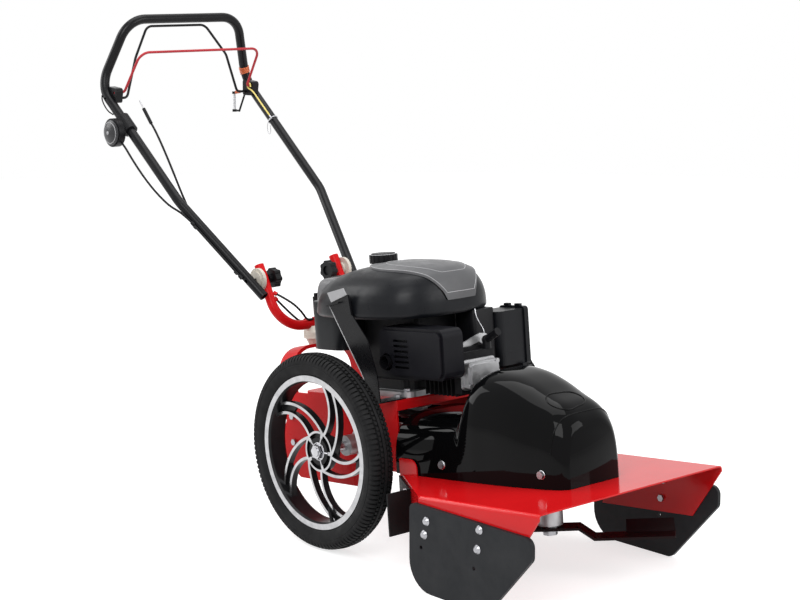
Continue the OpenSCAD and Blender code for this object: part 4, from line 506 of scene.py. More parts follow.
def cables():
    """The four cables, and the adjuster and bare wire on the free end of the bail's."""
    rod = tube("cable_adjuster", [from_tilt(*p) for p in ADJUSTER], ADJUSTER_R, "handle", black_plastic)
    wire = tube("cable_wire", [from_tilt(*p) for p in BARE_WIRE], WIRE_R, "handle", bright)
    for name, route, place, body in (("throttle_cable", THROTTLE, from_tilt, "handle"),
                                     ("bail_cable", BAIL, from_tilt, "handle"),
                                     ("base_cable_a", BASE_A, from_yoke, "mast"),
                                     ("base_cable_b", BASE_B, from_yoke, "mast")):
        line = smooth([place(*p) for p in route], 3)
        obj = tube(name, line, CABLE_R, body, black_plastic)
        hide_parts("control_cables" if body == "handle" else "base_cables")


cables()


def swept(name, line, radius, sides, material, body):
    """Mesh tube along a line."""
    vertices, faces = [], []
    for i, place in enumerate(line):
        way = (line[min(i + 1, len(line) - 1)] - line[max(i - 1, 0)]).normalized()
        u = way.cross(Vector((0, 0, 1)))
        u = u.normalized() if u.length > 1e-6 else Vector((1, 0, 0))
        v = way.cross(u)
        for k in range(sides):
            angle = 2 * math.pi * k / sides
            vertices.append(place + radius * (math.cos(angle) * u + math.sin(angle) * v))
    for i in range(len(line) - 1):
        for k in range(sides):
            a, b = i * sides + k, i * sides + (k + 1) % sides
            faces.append((a, b, b + sides, a + sides))
    faces.append(tuple(range(sides))[::-1])
    last = (len(line) - 1) * sides
    faces.append(tuple(range(last, last + sides)))
    return new_mesh(name, vertices, faces, material, body)


def ring(name, centre, axis, radius, wire, body, material, slot, steps=28):
    """Closed wire ring round an axis."""
    axis = axis.normalized()
    u = axis.orthogonal().normalized()
    v = axis.cross(u)
    sides = 10
    vertices, faces = [], []
    for i in range(steps):
        a = 2 * math.pi * i / steps
        out = math.cos(a) * u + math.sin(a) * v
        for k in range(sides):
            b = 2 * math.pi * k / sides
            vertices.append(centre + (radius + wire * math.cos(b)) * out + wire * math.sin(b) * axis)
    for i in range(steps):
        for k in range(sides):
            a, b = i * sides, (i + 1) % steps * sides
            faces.append((a + k, b + k, b + (k + 1) % sides, a + (k + 1) % sides))
    return new_mesh(name, vertices, faces, material, body)


# Return spring: its foot in mm from the tilt axis, its turns, and the rest in metres
SPRING_FOOT, SPRING_TURNS = (-482, 178, 338), 14
SPRING_R, SPRING_LENGTH, SPRING_WIRE = 0.0034, 0.036, 0.0006


def spring():
    """Return spring of the black bail, with its turns."""
    base, steps = from_tilt(*SPRING_FOOT), 16
    line = []
    for k in range(SPRING_TURNS * steps + 1):
        a = 2 * math.pi * k / steps
        rise = SPRING_LENGTH * k / (SPRING_TURNS * steps)
        line.append(base + Vector((SPRING_R * math.cos(a), SPRING_R * math.sin(a), rise)))
    obj = swept("return_spring_coil", line, SPRING_WIRE, 8, bright, "handle")
    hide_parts("return_spring")
    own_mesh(obj)


spring()


def eased(stations, parts=8, passes=12):
    """Stations of a loft, divided finely and rounded over, with both ends kept."""
    fine = []
    for low, high in zip(stations, stations[1:]):
        fine += [[x + (y - x) * k / parts for x, y in zip(low, high)] for k in range(parts)]
    fine.append(list(stations[-1]))
    for _ in range(passes):
        inner = [[(p + 2 * q + r) / 4 for p, q, r in zip(*three)] for three in zip(fine, fine[1:], fine[2:])]
        fine = [fine[0]] + inner + [fine[-1]]
    return fine


def oval(angle, a, b, power):
    """Point of a superellipse."""
    c, s = math.cos(angle), math.sin(angle)
    return (a * math.copysign(abs(c) ** (2 / power), c), b * math.copysign(abs(s) ** (2 / power), s))


def loft(rings, closed):
    """Faces between rings of equal length that follow each other in one list of points."""
    n = len(rings[0])
    faces = []
    for i in range(len(rings) - 1):
        for j in range(n if closed else n - 1):
            k = (j + 1) % n
            faces.append((i * n + j, i * n + k, (i + 1) * n + k, (i + 1) * n + j))
    return [p for row in rings for p in row], faces


# Belt cover, in mm of the chassis frame
COVER_HALF, COVER_NOSE_HALF, COVER_REAR, COVER_FRONT = 130, 92, 120, 556
COVER_LOW, COVER_DOME, COVER_NOSE, COVER_WALL = 68, 164, 72, 4
COVER_BASE, COVER_RISER, COVER_POWER = -52.6, 292, 3.4
COVER_BOLT_X, COVER_BOLT_Z = (254, 506), -24
# Stations along the cover: place, half width and height
COVER_STATIONS = eased([
    (COVER_REAR, COVER_HALF, COVER_LOW), (COVER_RISER - 60, COVER_HALF - 4, COVER_LOW + 2),
    (COVER_RISER, COVER_HALF - 8, COVER_LOW + 8), (COVER_RISER + 10, COVER_HALF - 9, COVER_DOME - 34),
    (COVER_RISER + 26, COVER_HALF - 10, COVER_DOME - 8), (COVER_RISER + 48, COVER_HALF - 11, COVER_DOME),
    (COVER_RISER + 76, COVER_HALF - 14, COVER_DOME - 2), (COVER_RISER + 110, COVER_HALF - 17, COVER_DOME - 9),
    (COVER_RISER + 150, COVER_HALF - 22, COVER_DOME - 24),
    (COVER_RISER + 190, COVER_NOSE_HALF + 8, COVER_DOME - 43),
    (COVER_FRONT - 40, COVER_NOSE_HALF + 1, COVER_NOSE + 36),
    (COVER_FRONT - 22, COVER_NOSE_HALF - 4, COVER_NOSE + 24),
    (COVER_FRONT - 9, COVER_NOSE_HALF - 12, COVER_NOSE + 11),
    (COVER_FRONT - 2, COVER_NOSE_HALF - 20, COVER_NOSE + 1),
    (COVER_FRONT, COVER_NOSE_HALF - 25, COVER_NOSE - 7)])
# Raised oval and arched line: middle, reach along the cover, degrees round it, and radius in metres
OVAL_X, OVAL_REACH, OVAL_ANGLE, OVAL_SPREAD, OVAL_WIRE = 505, 27, 97, 15, 0.0016
ARCH_X, ARCH_REACH, ARCH_ANGLES, ARCH_POWER, ARCH_WIRE = 541, 15, range(12, 167, 2), 1.5, 0.0014
# Washers, in metres
WASHER_R, WASHER_WIRE = 0.0080, 0.0014


def cover_point(station, angle, inset=0.0):
    x, half, height = station
    y, rise = oval(angle, half - inset, height - inset - COVER_BASE, COVER_POWER)
    return chassis(min(x, COVER_FRONT - inset), y, COVER_BASE + max(rise, 0))


def belt_cover():
    """Moulded gloss cover of the belts, open below and at the rear."""
    steps = 72
    angles = [math.pi * k / steps for k in range(steps + 1)]
    outer, faces = loft([[cover_point(s, a) for a in angles] for s in COVER_STATIONS], False)
    inner, _ = loft([[cover_point(s, a, COVER_WALL) for a in angles] for s in COVER_STATIONS], False)
    n, count, shift = steps + 1, len(COVER_STATIONS), len(outer)
    last = (count - 1) * n
    # Open edge: along the left foot, back along the right foot and over the rear, then across below the nose
    rim = [(i * n, (i + 1) * n) for i in range(count - 1)]
    rim += [(i * n + n - 1, i * n - 1) for i in reversed(range(1, count))]
    rim += [(j, j - 1) for j in reversed(range(1, n))]
    edge = [(a, a + shift, b + shift, b) for a, b in rim]
    edge.append((last, last + n - 1, last + n - 1 + shift, last + shift))
    nose = tuple(range(last, last + n))
    inside = [tuple(shift + i for i in reversed(f)) for f in faces]
    ends = [nose, tuple(shift + i for i in reversed(nose))]
    obj = new_mesh("belt_cover_shell", outer + inner, faces + inside + edge + ends, gloss_black, "chassis")
    obj.data.set_sharp_from_angle(angle=math.radians(38))
    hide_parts("belt_cover")


def cover_station(x):
    """Station of the cover at a place along it."""
    for low, high in zip(COVER_STATIONS, COVER_STATIONS[1:]):
        if low[0] <= x <= high[0] and high[0] > low[0]:
            share = (x - low[0]) / (high[0] - low[0])
            return [p + (q - p) * share for p, q in zip(low, high)]
    return COVER_STATIONS[-1]


def cover_beads():
    """Raised oval on the cover's front slope and the arched line round its nose."""
    oval_line = []
    for k in range(73):
        a = 2 * math.pi * k / 72
        station = cover_station(OVAL_X + OVAL_REACH * math.cos(a))
        oval_line.append(cover_point(station, math.radians(OVAL_ANGLE + OVAL_SPREAD * math.sin(a))))
    tube("cover_oval", oval_line, OVAL_WIRE, "chassis", gloss_black)
    arch = []
    for a in map(math.radians, ARCH_ANGLES):
        arch.append(cover_point(cover_station(ARCH_X - ARCH_REACH * abs(math.cos(a)) ** ARCH_POWER), a))
    tube("cover_arch", arch, ARCH_WIRE, "chassis", gloss_black)


def cover_washers():
    """Light washers under the cover's side bolts."""
    for number, x in enumerate(COVER_BOLT_X):
        _, half, height = cover_station(x)
        share = (COVER_BOLT_Z - COVER_BASE) / (height - COVER_BASE)
        out = half * (1 - share ** COVER_POWER) ** (1 / COVER_POWER)
        for side in (-1, 1):
            name = "cover_washer_%d_%s" % (number, "right" if side < 0 else "left")
            ring(name, chassis(x, side * out, COVER_BOLT_Z), Vector((0, side, 0)), WASHER_R, WASHER_WIRE,
                 "chassis", bright, "bright_steel", 36)


# Engine shroud, in mm of the engine frame
SHROUD_LOW, SHROUD_TOP, SHROUD_A, SHROUD_B, SHROUD_BACK, SHROUD_POWER = 172, 277, 178, 152, 20, 2.9
# Levels of the dome: share of the height, share of the plan's size, and how far forward it lies
SHROUD_LEVELS = eased([(0, 0.97, 0), (0.06, 1, 0), (0.30, 0.985, 2), (0.48, 0.945, 6), (0.64, 0.875, 12),
                       (0.78, 0.77, 22), (0.89, 0.61, 34), (0.96, 0.42, 44), (1, 0.20, 50),
                       (1.004, 0.02, 52)], 8, 6)
# The first level that the panel's height is sought on
DOME_FROM = 9
# Plans of upright pieces: middle, half sizes and squareness, then the heights that they reach between
FILLER_X, FILLER_Y = -92, 22
SKIRT_PLAN, SKIRT_LOW, SKIRT_HIGH = (-135, 0, 59, 118, 5), 96, 200
NECK_PLAN, NECK_LOW, NECK_HIGH = (FILLER_X, FILLER_Y, 26, 26, 2), 200, 271
INTAKE_PLAN, INTAKE_LOW, INTAKE_HIGH = (127, 74.5, 31, 31.5, 7), 66, 173
PANEL_X, PANEL_Y, PANEL_A, PANEL_B, PANEL_T, PANEL_FOOT, PANEL_POWER = 46, 10, 120, 98, 3, 208, 2.2
# Shares of the panel's reach: its foot, its edge highlight, and its groove highlight with what that gains to
# the front
PANEL_SKIRT, PANEL_HIGHLIGHT, PANEL_INNER, PANEL_INNER_GAIN = 1.004, 0.99, 0.74, 0.10
# Radii of both highlight lines, in metres
PANEL_LINE_R, PANEL_HIGHLIGHT_R = 0.0007, 0.0008
# Power by which the panel's rows crowd to its edge, and the depth of its last row, its foot and its lines
PANEL_CROWD, PANEL_ROW_SINK, PANEL_FOOT_SINK, PANEL_LINE_SINK, PANEL_HIGHLIGHT_SINK = 1.8, 0.7, 4.5, -0.1, 0.1
# Rounded rim of an upright piece: distance from its end, and how far it draws in there
RIM_ROUND = ((0, 2.0), (0.6, 0.6), (2, 0.0))


def shroud_level_z(level, grow=0.0):
    return SHROUD_LOW + (SHROUD_TOP - SHROUD_LOW) * level[0] + grow


def outside(level, x, y, grow):
    """How far a plan point lies outside one level of the dome: over 0 is outside."""
    u = abs((x + SHROUD_BACK - level[2]) / (SHROUD_A * level[1] + grow))
    v = abs(y / (SHROUD_B * level[1] + grow))
    return u ** SHROUD_POWER + v ** SHROUD_POWER - 1


def dome_height(x, y, grow):
    """Height of the dome, grown outward, at a plan point."""
    above = None
    for level in reversed(SHROUD_LEVELS[DOME_FROM:]):
        f = outside(level, x, y, grow)
        if f <= 0:
            if above is None:
                return shroud_level_z(level, grow)
            share = f / (f - above[0])
            low, high = shroud_level_z(level, grow), shroud_level_z(above[1], grow)
            return low + (high - low) * max(0.0, min(1.0, share))
        above = (f, level)
    return shroud_level_z(SHROUD_LEVELS[DOME_FROM], grow)


def oval_plan(x, y, a, b, power, steps):
    """Outline of an upright piece of the engine, as seen from above."""
    spots = (oval(2 * math.pi * k / steps, a, b, power) for k in range(steps))
    return [(x + p, y + q, 0) for p, q in spots]


def prism(name, outline, low, high, material):
    """Upright piece of the engine with rounded rims."""
    middle = sum((Vector(p) for p in outline), Vector()) / len(outline)
    rings = []
    rounding = [(low + z, inset) for z, inset in RIM_ROUND]
    rounding += [(high - z, inset) for z, inset in reversed(RIM_ROUND)]
    for z, inset in rounding:
        row = []
        for p in outline:
            out = Vector(p) - middle
            q = middle + out * (1 - inset / out.length)
            row.append(engine(q.x, q.y, z))
        rings.append(row)
    points, faces = loft(rings, True)
    n = len(outline)
    faces += [tuple(reversed(range(n))), tuple(range(len(points) - n, len(points)))]
    obj = new_mesh(name, points, faces, material, "chassis")
    obj.data.set_sharp_from_angle(angle=math.radians(60))
    return obj


def engine_shroud():
    """Smooth moulded dome, its rear skirt and the filler neck."""
    steps = 160
    rings = []
    for level in SHROUD_LEVELS:
        a, b = SHROUD_A * level[1], SHROUD_B * level[1]
        plan = [oval(2 * math.pi * k / steps, a, b, SHROUD_POWER) for k in range(steps)]
        rings.append([engine(x - SHROUD_BACK + level[2], y, shroud_level_z(level)) for x, y in plan])
    points, faces = loft(rings, True)
    faces.append(tuple(reversed(range(steps))))
    faces.append(tuple(range(len(points) - steps, len(points))))
    dome = new_mesh("shroud_dome", points, faces, shroud, "chassis")
    dome.data.set_sharp_from_angle(angle=math.radians(50))
    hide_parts("engine_shroud")
    prism("shroud_skirt", oval_plan(*SKIRT_PLAN, 120), SKIRT_LOW, SKIRT_HIGH, shroud)
    prism("filler_neck", oval_plan(*NECK_PLAN, 64), NECK_LOW, NECK_HIGH, shroud)


def panel_reach(angle):
    """Plan distance from the panel's middle to its edge, which its oval or the dome's foot level limits."""
    way = Vector((math.cos(angle), math.sin(angle)))
    low, high = 0.0, 200.0
    foot = min(SHROUD_LEVELS, key=lambda level: abs(shroud_level_z(level) - PANEL_FOOT))
    for _ in range(40):
        mid = (low + high) / 2
        x, y = way * mid
        inside = abs(x / PANEL_A) ** PANEL_POWER + abs(y / PANEL_B) ** PANEL_POWER < 1
        inside = inside and outside(foot, PANEL_X + x, PANEL_Y + y, PANEL_T) < 0
        low, high = (mid, high) if inside else (low, mid)
    return low


def panel_spot(distance, angle, sink):
    x = PANEL_X + distance * math.cos(angle)
    y = PANEL_Y + distance * math.sin(angle)
    return engine(x, y, dome_height(x, y, PANEL_T) - sink)


def tank_panel():
    """Grey inlay on top of the shroud with a rounded edge, and light grey lines painted as highlights on that
    edge and on a fine groove.
    """
    steps, rows = 240, 40
    angles = [2 * math.pi * k / steps for k in range(steps)]
    reach = [panel_reach(a) for a in angles]
    rings = []
    for i in range(1, rows + 1):
        share = 1 - (1 - i / rows) ** PANEL_CROWD
        sink = 0.0 if i < rows else PANEL_ROW_SINK
        rings.append([panel_spot(r * share, a, sink) for r, a in zip(reach, angles)])
    rings.append([panel_spot(r * PANEL_SKIRT, a, PANEL_FOOT_SINK) for r, a in zip(reach, angles)])
    points, faces = loft(rings, True)
    faces = [tuple(reversed(f)) for f in faces]
    faces.append(tuple(range(steps)))
    faces.append(tuple(reversed(range(len(points) - steps, len(points)))))
    obj = new_mesh("tank_panel_inlay", points, faces, panel, "chassis")
    obj.data.set_sharp_from_angle(angle=math.radians(40))
    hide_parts("tank_panel")
    every_other = list(zip(reach, angles))[::2]
    # Light grey tube on the fine inner groove: a painted highlight
    line = [panel_spot(r * PANEL_INNER * (1 + PANEL_INNER_GAIN * math.cos(a)), a, PANEL_LINE_SINK)
            for r, a in every_other]
    line.append(line[0].copy())
    tube("panel_groove_highlight", line, PANEL_LINE_R, "chassis", grey_trim_and_highlight)
    # Light grey tube along the rounded edge: a painted highlight
    edge = [panel_spot(r * PANEL_HIGHLIGHT, a, PANEL_HIGHLIGHT_SINK) for r, a in every_other]
    edge.append(edge[0].copy())
    tube("panel_edge_highlight", edge, PANEL_HIGHLIGHT_R, "chassis", grey_trim_and_highlight)


belt_cover()
cover_beads()
engine_shroud()
tank_panel()


def plate(name, outline, axis, low, high, material):
    """Flat piece of the engine: an outline in the two other axes, thick along x or y."""
    def place(p, depth):
        return engine(depth, *p) if axis == "x" else engine(p[0], depth, p[1])

    n = len(outline)
    points = [place(p, low) for p in outline] + [place(p, high) for p in outline]
    faces = [tuple(range(n)), tuple(reversed(range(n, 2 * n)))]
    faces += [(k, (k + 1) % n, n + (k + 1) % n, n + k) for k in range(n)]
    obj = new_mesh(name, points, faces, material, "chassis", False)
    made = bmesh.new()
    made.from_mesh(obj.data)
    bmesh.ops.recalc_face_normals(made, faces=made.faces)
    made.to_mesh(obj.data)
    made.free()
    return obj


# Engine trim, in mm of the engine frame. Levels of the recoil housing: height, half sizes and middle
RECOIL_LEVELS = eased([(176, 40, 104, -148), (198, 43, 105, -148), (225, 42, 104, -146), (238, 39, 101, -144),
                       (244, 35, 97, -143), (246, 30, 92, -143)], 4, 2)
RECOIL_POWER = 5
SHIELD_Y, SHIELD_T = -156, 2.5
CLIP_Y, CLIP_T, SHIELD_NECK_OUT = SHIELD_Y - 7, 3, 4.2
SHIELD_CLIP = [(-66, 227), (-14, 238), (-5, 224), (-55, 207)]
SHIELD_NECK = [(-58, 199), (-57, 209), (-12, 227), (-3, 224), (4, 182), (-20, 186)]
# Where a light grey tube runs down the shield's edge: a painted highlight
SHIELD_HIGHLIGHT = [(-69, 197), (-40, 152), (-12, 109), (18, 63), (26, 49), (36, 4)]
BRACKET_X, BRACKET_T = 188, 4
BRACKET = [(-30, 100), (-30, 113), (26, 129), (42, 127), (52, 120), (54, 110), (46, 104), (34, 105),
           (22, 112)]
BRACKET_BOLT = [(150, 49, 115), (196, 49, 115)]
GOVERNOR = [(160, 46, 176), (164, 45, 160), (168, 52, 142), (172, 56, 130), (178, 50, 120), (186, 38, 115),
            (190, 30, 116)]
CAP_TOP = 289.6
# Radii in metres
SHIELD_HIGHLIGHT_R, BRACKET_BOLT_R, GOVERNOR_R, CAP_HIGHLIGHT_R, CAP_HIGHLIGHT_WIRE = 0.0011, 0.005, 0.0013, 0.0268, 0.0011


def engine_trim():
    """Recoil and intake housings, the shield's clip and neck with a painted highlight down its edge, bracket,
    governor wire and a painted highlight ring on the fuel cap's rim.
    """
    steps = 96
    rings = []
    for z, a, b, x in RECOIL_LEVELS:
        rings.append([engine(p, q, z) for p, q, _ in oval_plan(x, 0, a, b, RECOIL_POWER, steps)])
    points, faces = loft(rings, True)
    faces += [tuple(reversed(range(steps))), tuple(range(len(points) - steps, len(points)))]
    recoil = new_mesh("recoil_housing", points, faces, mid_grey, "chassis")
    recoil.data.set_sharp_from_angle(angle=math.radians(50))

    prism("intake_housing", oval_plan(*INTAKE_PLAN, 80), INTAKE_LOW, INTAKE_HIGH, black_plastic)

    plate("shield_clip", SHIELD_CLIP, "y", CLIP_Y, CLIP_Y + CLIP_T, grey_trim_and_highlight)
    plate("shield_neck", SHIELD_NECK, "y", SHIELD_Y - SHIELD_NECK_OUT, SHIELD_Y + SHIELD_T / 2, black_paint)
    # Light grey tube down the shield's edge: a painted highlight
    edge = [engine(x, SHIELD_Y, z) for x, z in SHIELD_HIGHLIGHT]
    tube("shield_edge_highlight", edge, SHIELD_HIGHLIGHT_R, "chassis", grey_trim_and_highlight)

    plate("engine_bracket", BRACKET, "x", BRACKET_X, BRACKET_X + BRACKET_T, silver_cast)
    bolt = [engine(*p) for p in BRACKET_BOLT]
    tube("bracket_bolt", bolt, BRACKET_BOLT_R, "chassis", bright)
    wire = smooth([engine(*p) for p in GOVERNOR])
    tube("governor_wire", wire, GOVERNOR_R, "chassis", bright)
    # Light grey ring on the fuel cap's top edge: a painted highlight
    ring("cap_rim_highlight", engine(FILLER_X, FILLER_Y, CAP_TOP), engine(0, 0, 1) - engine(0, 0, 0), CAP_HIGHLIGHT_R,
         CAP_HIGHLIGHT_WIRE, "filler_cap", grey_trim_and_highlight, "panel_plastic", 64)


# Wheel trim, in mm from the wheel's middle: the hub plate's section, its bars and the valve
TRACK_HALF = 230
TRIM_LOW, TRIM_HIGH, TRIM_IN, TRIM_OUT = 7.05, 7.5, 17.5, 29
HUB_BARS, HUB_BAR_TURN, HUB_BAR_END, HUB_BAR_FALL = 5, 2, 30, 0.5
VALVE_TURN, VALVE_OUT = -70, 13
# The valve and its tip: distances of both ends from the axle, and the radius in metres
VALVE_PARTS = (("valve", 150, 126, 0.0040), ("valve_tip", 127, 117, 0.0028))
# Radii in metres
HUB_RING_R, HUB_RING_WIRE, HUB_BAR_R = 0.0182, 0.0011, 0.0016


def wheel_spot(side, r, angle, out):
    """A point of one wheel: radius and angle round the axle, mm outward from the wheel's middle plane."""
    return AXLE + Vector((-side * r * math.cos(angle), side * (TRACK_HALF + out), r * math.sin(angle))) / 1000


def wheel_trim(body, side):
    """Dark hub plate with five bright bars and a ring, and the tyre's valve."""
    steps = 90
    section = ((TRIM_IN, TRIM_LOW), (TRIM_IN, TRIM_HIGH), (TRIM_OUT, TRIM_HIGH), (TRIM_OUT, TRIM_LOW),
               (TRIM_IN, TRIM_LOW))
    rings = []
    for r, z in section:
        rings.append([wheel_spot(side, r, 2 * math.pi * k / steps, z) for k in range(steps)])
    points, faces = loft(rings, True)
    disc = new_mesh(body + "_hub_plate", points, faces, black_plastic, body)
    disc.data.set_sharp_from_angle(angle=math.radians(40))
    axis = Vector((0, side, 0))
    ring(body + "_hub_ring", wheel_spot(side, 0, 0, TRIM_HIGH), axis, HUB_RING_R, HUB_RING_WIRE, body, bright,
         "bright_steel", 48)
    for k in range(HUB_BARS):
        a = math.radians(HUB_BAR_TURN + 360 / HUB_BARS * k)
        bar = [wheel_spot(side, TRIM_IN, a, TRIM_HIGH),
               wheel_spot(side, HUB_BAR_END, a, TRIM_HIGH - HUB_BAR_FALL)]
        tube("%s_hub_bar_%d" % (body, k), bar, HUB_BAR_R, body, bright)
    a = math.radians(VALVE_TURN)
    for part, foot, tip, radius in VALVE_PARTS:
        tube("%s_%s" % (body, part), [wheel_spot(side, r, a, VALVE_OUT) for r in (foot, tip)], radius, body,
             black_plastic)


# Far leg of the handlebar and what hangs on it, in mm from the tilt axis
FAR_KINK = Vector((-182, 205, 164))
FAR_BEND = Vector((-481, 212, 409))
FAR_TOP = Vector((-439, 158, 565))
BEND_R = 66
BAIL_PIVOT = Vector((-432, 187, 397))
DRIVE_PIVOT = Vector((-448, 175, 383))
SPRING_TAIL = Vector((-482, 178, 379))
KEEPER_AT, EYE_OUT, EYE_LEAN = 240, 15.5, 0.85
# How far the link's hook lies beside the bail's pivot, and how far short of the eye's middle the link ends
LINK_BESIDE, LINK_SHORT = 1.5, 5
LINK_HOOK = ((6, 0, -3), (5, 0, 4), (-1, 0, 6), (-5, 0, 2), (-3, 0, -5))
LOOSE_HOOK = ((2, 0, -4), (-7, -1, -10), (-11, -2, -24), (-8, -2, -38), (-2, -2, -42), (2, -2, -34),
              (0, -2, -20))
WRAP_FROM, WRAP_SPAN, WRAP_R = 0.18, 0.6, 3.3
# The tie's place round the bend, in shares of half its turn
TIE_FROM, TIE_SPAN, TIE_R = 1.36, 0.46, 12.0
NEAR_HOOK = [(-462, -221, 390), (-457, -224, 380), (-446, -225, 367), (-432, -224, 355), (-417, -221, 348)]
# In metres: radii of wires, radius and wire of each ring, and how far the dial's rim highlight and middle
# ring lie in from its face
LINK_R, LOOSE_R, WRAP_WIRE, TIE_WIRE, NEAR_HOOK_R = 0.0019, 0.0008, 0.0009, 0.0011, 0.0016
EYE_RING, KEEPER_RING = (0.0048, 0.0018), (0.0122, 0.0013)
DIAL_HIGHLIGHT, DIAL_MIDDLE, DIAL_HIGHLIGHT_IN, DIAL_MIDDLE_IN = (0.024, 0.0008), (0.0022, 0.0022), 0.0056, 0.0004


def far_leg_link():
    """Yellow link of the blade clutch on the far leg, with its eye, keeper ring and loose wire hook."""
    way = (FAR_BEND - FAR_KINK).normalized()
    under = way.cross(Vector((0, -1, 0))).normalized()
    inner = (Vector((0, -1, 0)) + EYE_LEAN * under).normalized()
    seat = FAR_KINK + way * KEEPER_AT
    eye = seat + inner * EYE_OUT
    hook = BAIL_PIVOT + Vector((0, -LINK_BESIDE, 0))
    line = [hook + Vector(p) for p in LINK_HOOK]
    line += [hook.lerp(eye, 0.2), hook.lerp(eye, 0.6), eye + (hook - eye).normalized() * LINK_SHORT]
    tube("yellow_link", smooth([from_tilt(*p) for p in line], 5), LINK_R, "handle", yellow)
    ring("link_eye", from_tilt(*eye), inner.cross(way), *EYE_RING, "handle", bright, "bright_steel")
    ring("link_keeper", from_tilt(*seat), way, *KEEPER_RING, "handle", bright, "bright_steel", 40)
    wire = [eye + Vector(p) for p in LOOSE_HOOK]
    tube("loose_hook", smooth([from_tilt(*p) for p in wire], 5), LOOSE_R, "handle", bright)


def orange_wrap():
    """Wire wound round the black bail's tail, where the spring hangs."""
    along = SPRING_TAIL - DRIVE_PIVOT
    way = along.normalized()
    u = way.orthogonal().normalized()
    v = way.cross(u)
    turns, steps = 6, 14
    line = []
    for k in range(turns * steps + 1):
        share = k / (turns * steps)
        a = 2 * math.pi * k / steps
        round_tail = math.cos(a) * u + math.sin(a) * v
        line.append(DRIVE_PIVOT + along * (WRAP_FROM + WRAP_SPAN * share) + WRAP_R * round_tail)
    tube("tail_wrap", [from_tilt(*p) for p in line], WRAP_WIRE, "drive_bail", orange)


def handle_trim():
    """Orange tie round the far leg, a painted highlight ring on the throttle dial's rim and a light ring at
    its middle, and the small wire hook on the near leg.
    """
    low, high = (FAR_KINK - FAR_BEND).normalized(), (FAR_TOP - FAR_BEND).normalized()
    half_turn = (math.pi - low.angle(high)) / 2
    middle = FAR_BEND + (low + high).normalized() * BEND_R / math.cos(half_turn)
    across = low.cross(high).normalized()
    start = FAR_BEND + low * BEND_R * math.tan(half_turn) - middle
    turns, steps = 5, 24
    tie = []
    for k in range(turns * steps + 1):
        a = 2 * math.pi * k / steps
        swing = -half_turn * (TIE_FROM + TIE_SPAN * k / (turns * steps))
        out = (Matrix.Rotation(swing, 3, across) @ start).normalized()
        tie.append(from_tilt(*(middle + out * (BEND_R + TIE_R * math.cos(a)) + across * TIE_R * math.sin(a))))
    tube("orange_tie", tie, TIE_WIRE, "handle", orange)
    pivot = Vector(joints["throttle_turn"]["pos_m"])
    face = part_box("throttle_dial")[0][1]
    axis = Vector((0, -1, 0))
    # Light grey ring round the dial's rim: a painted highlight
    ring("dial_rim_highlight", Vector((pivot.x, face + DIAL_HIGHLIGHT_IN, pivot.z)), axis, *DIAL_HIGHLIGHT, "throttle", grey_trim_and_highlight,
         "panel_plastic", 56)
    ring("dial_middle", Vector((pivot.x, face + DIAL_MIDDLE_IN, pivot.z)), axis, *DIAL_MIDDLE, "throttle",
         grey_trim_and_highlight, "panel_plastic", 24)
    hook = smooth([from_tilt(*p) for p in NEAR_HOOK])
    tube("near_hook", hook, NEAR_HOOK_R, "handle", black_paint)


far_leg_link()
orange_wrap()
handle_trim()
cover_washers()
engine_trim()
wheel_trim("right_wheel", -1)
wheel_trim("left_wheel", 1)


# Light, floor and background

SKY_LIGHT, FLOOR_GLOW, FLOOR_R = 0.62, 0.70, 7
# Lamps: place, aim, size and power
LAMPS = {
    "key": ((2.2, -3.4, 3.4), (0, 0, 0.4), 2.6, 120),
    "fill": ((3.8, 1.6, 2.4), (0, 0, 0.4), 2.4, 70),
    "top": ((-0.4, 0.2, 4.2), (0, 0, 0.4), 3.0, 80),
    "back": ((-3.0, -1.8, 2.2), (0, 0, 0.5), 2.0, 50),
}


def add_lamp(name, spot, aim, size, power):
    data = bpy.data.lights.new(name, "AREA")
    data.energy = power
    data.size = size
    obj = bpy.data.objects.new(name, data)
    obj.location = spot
    obj.rotation_euler = (Vector(aim) - Vector(spot)).to_track_quat("-Z", "Y").to_euler()
    scene.collection.objects.link(obj)


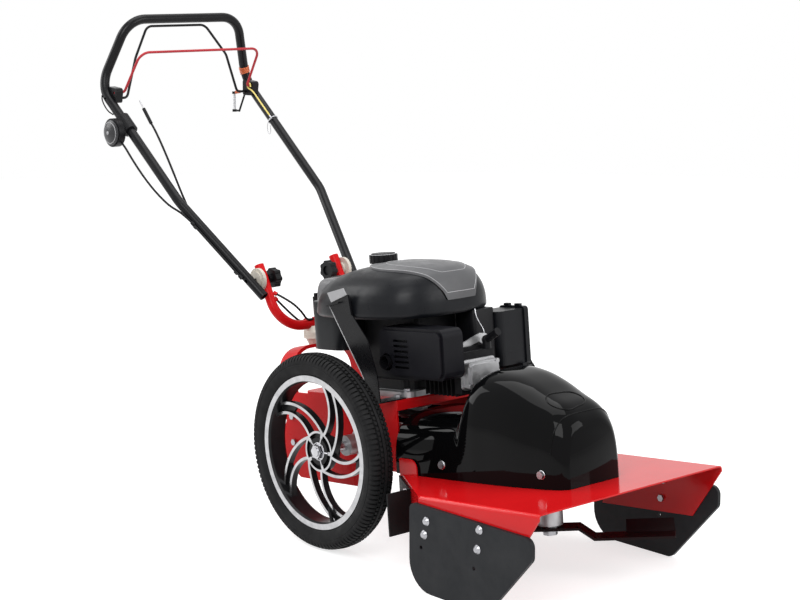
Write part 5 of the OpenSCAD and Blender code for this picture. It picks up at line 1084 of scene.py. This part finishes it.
def add_world():
    """White background where it is seen or mirrored, and a softer light elsewhere."""
    world = bpy.data.worlds.new("world")
    world.use_nodes = True
    scene.world = world
    tree = world.node_tree
    plain = tree.nodes["Background"]
    plain.inputs["Color"].default_value = (1, 1, 1, 1)
    plain.inputs["Strength"].default_value = SKY_LIGHT
    seen = tree.nodes.new("ShaderNodeBackground")
    seen.inputs["Color"].default_value = (1, 1, 1, 1)
    seen.inputs["Strength"].default_value = 1.0
    path = tree.nodes.new("ShaderNodeLightPath")
    clear = tree.nodes.new("ShaderNodeMath")
    clear.operation = "MAXIMUM"
    tree.links.new(path.outputs["Is Glossy Ray"], clear.inputs[0])
    tree.links.new(path.outputs["Is Transmission Ray"], clear.inputs[1])
    direct = tree.nodes.new("ShaderNodeMath")
    direct.operation = "MAXIMUM"
    tree.links.new(path.outputs["Is Camera Ray"], direct.inputs[0])
    tree.links.new(clear.outputs[0], direct.inputs[1])
    mix = tree.nodes.new("ShaderNodeMixShader")
    tree.links.new(direct.outputs[0], mix.inputs["Fac"])
    tree.links.new(plain.outputs[0], mix.inputs[1])
    tree.links.new(seen.outputs[0], mix.inputs[2])
    tree.links.new(mix.outputs[0], tree.nodes["World Output"].inputs["Surface"])


def add_floor():
    """White floor that fades into the background but still takes shadows."""
    data = bpy.data.meshes.new("floor")
    made = bmesh.new()
    bmesh.ops.create_circle(made, cap_ends=True, radius=FLOOR_R, segments=64)
    made.to_mesh(data)
    made.free()
    floor = bpy.data.objects.new("floor", data)
    scene.collection.objects.link(floor)
    m = Build("floor_white", (0.52, 0.52, 0.52), 0.6, specular=0.1)
    m.tint(2, (0.55, 0.55, 0.55))
    emit = m.add("ShaderNodeEmission")
    rays = m.add("ShaderNodeLightPath").outputs
    mirrored = m.math("MAXIMUM", rays["Is Glossy Ray"], rays["Is Transmission Ray"])
    seen_ray = m.math("MAXIMUM", rays["Is Camera Ray"], mirrored)
    m.link(m.math("MULTIPLY", seen_ray, FLOOR_GLOW), emit.inputs["Strength"])
    both = m.add("ShaderNodeAddShader")
    m.link(m.shader.outputs[0], both.inputs[0])
    m.link(emit.outputs[0], both.inputs[1])
    m.link(both.outputs[0], m.tree.nodes["Material Output"].inputs["Surface"])
    data.materials.append(m.material)


add_world()
add_floor()
for name, settings in LAMPS.items():
    add_lamp(name, *settings)
scene.view_settings.view_transform = "Standard"
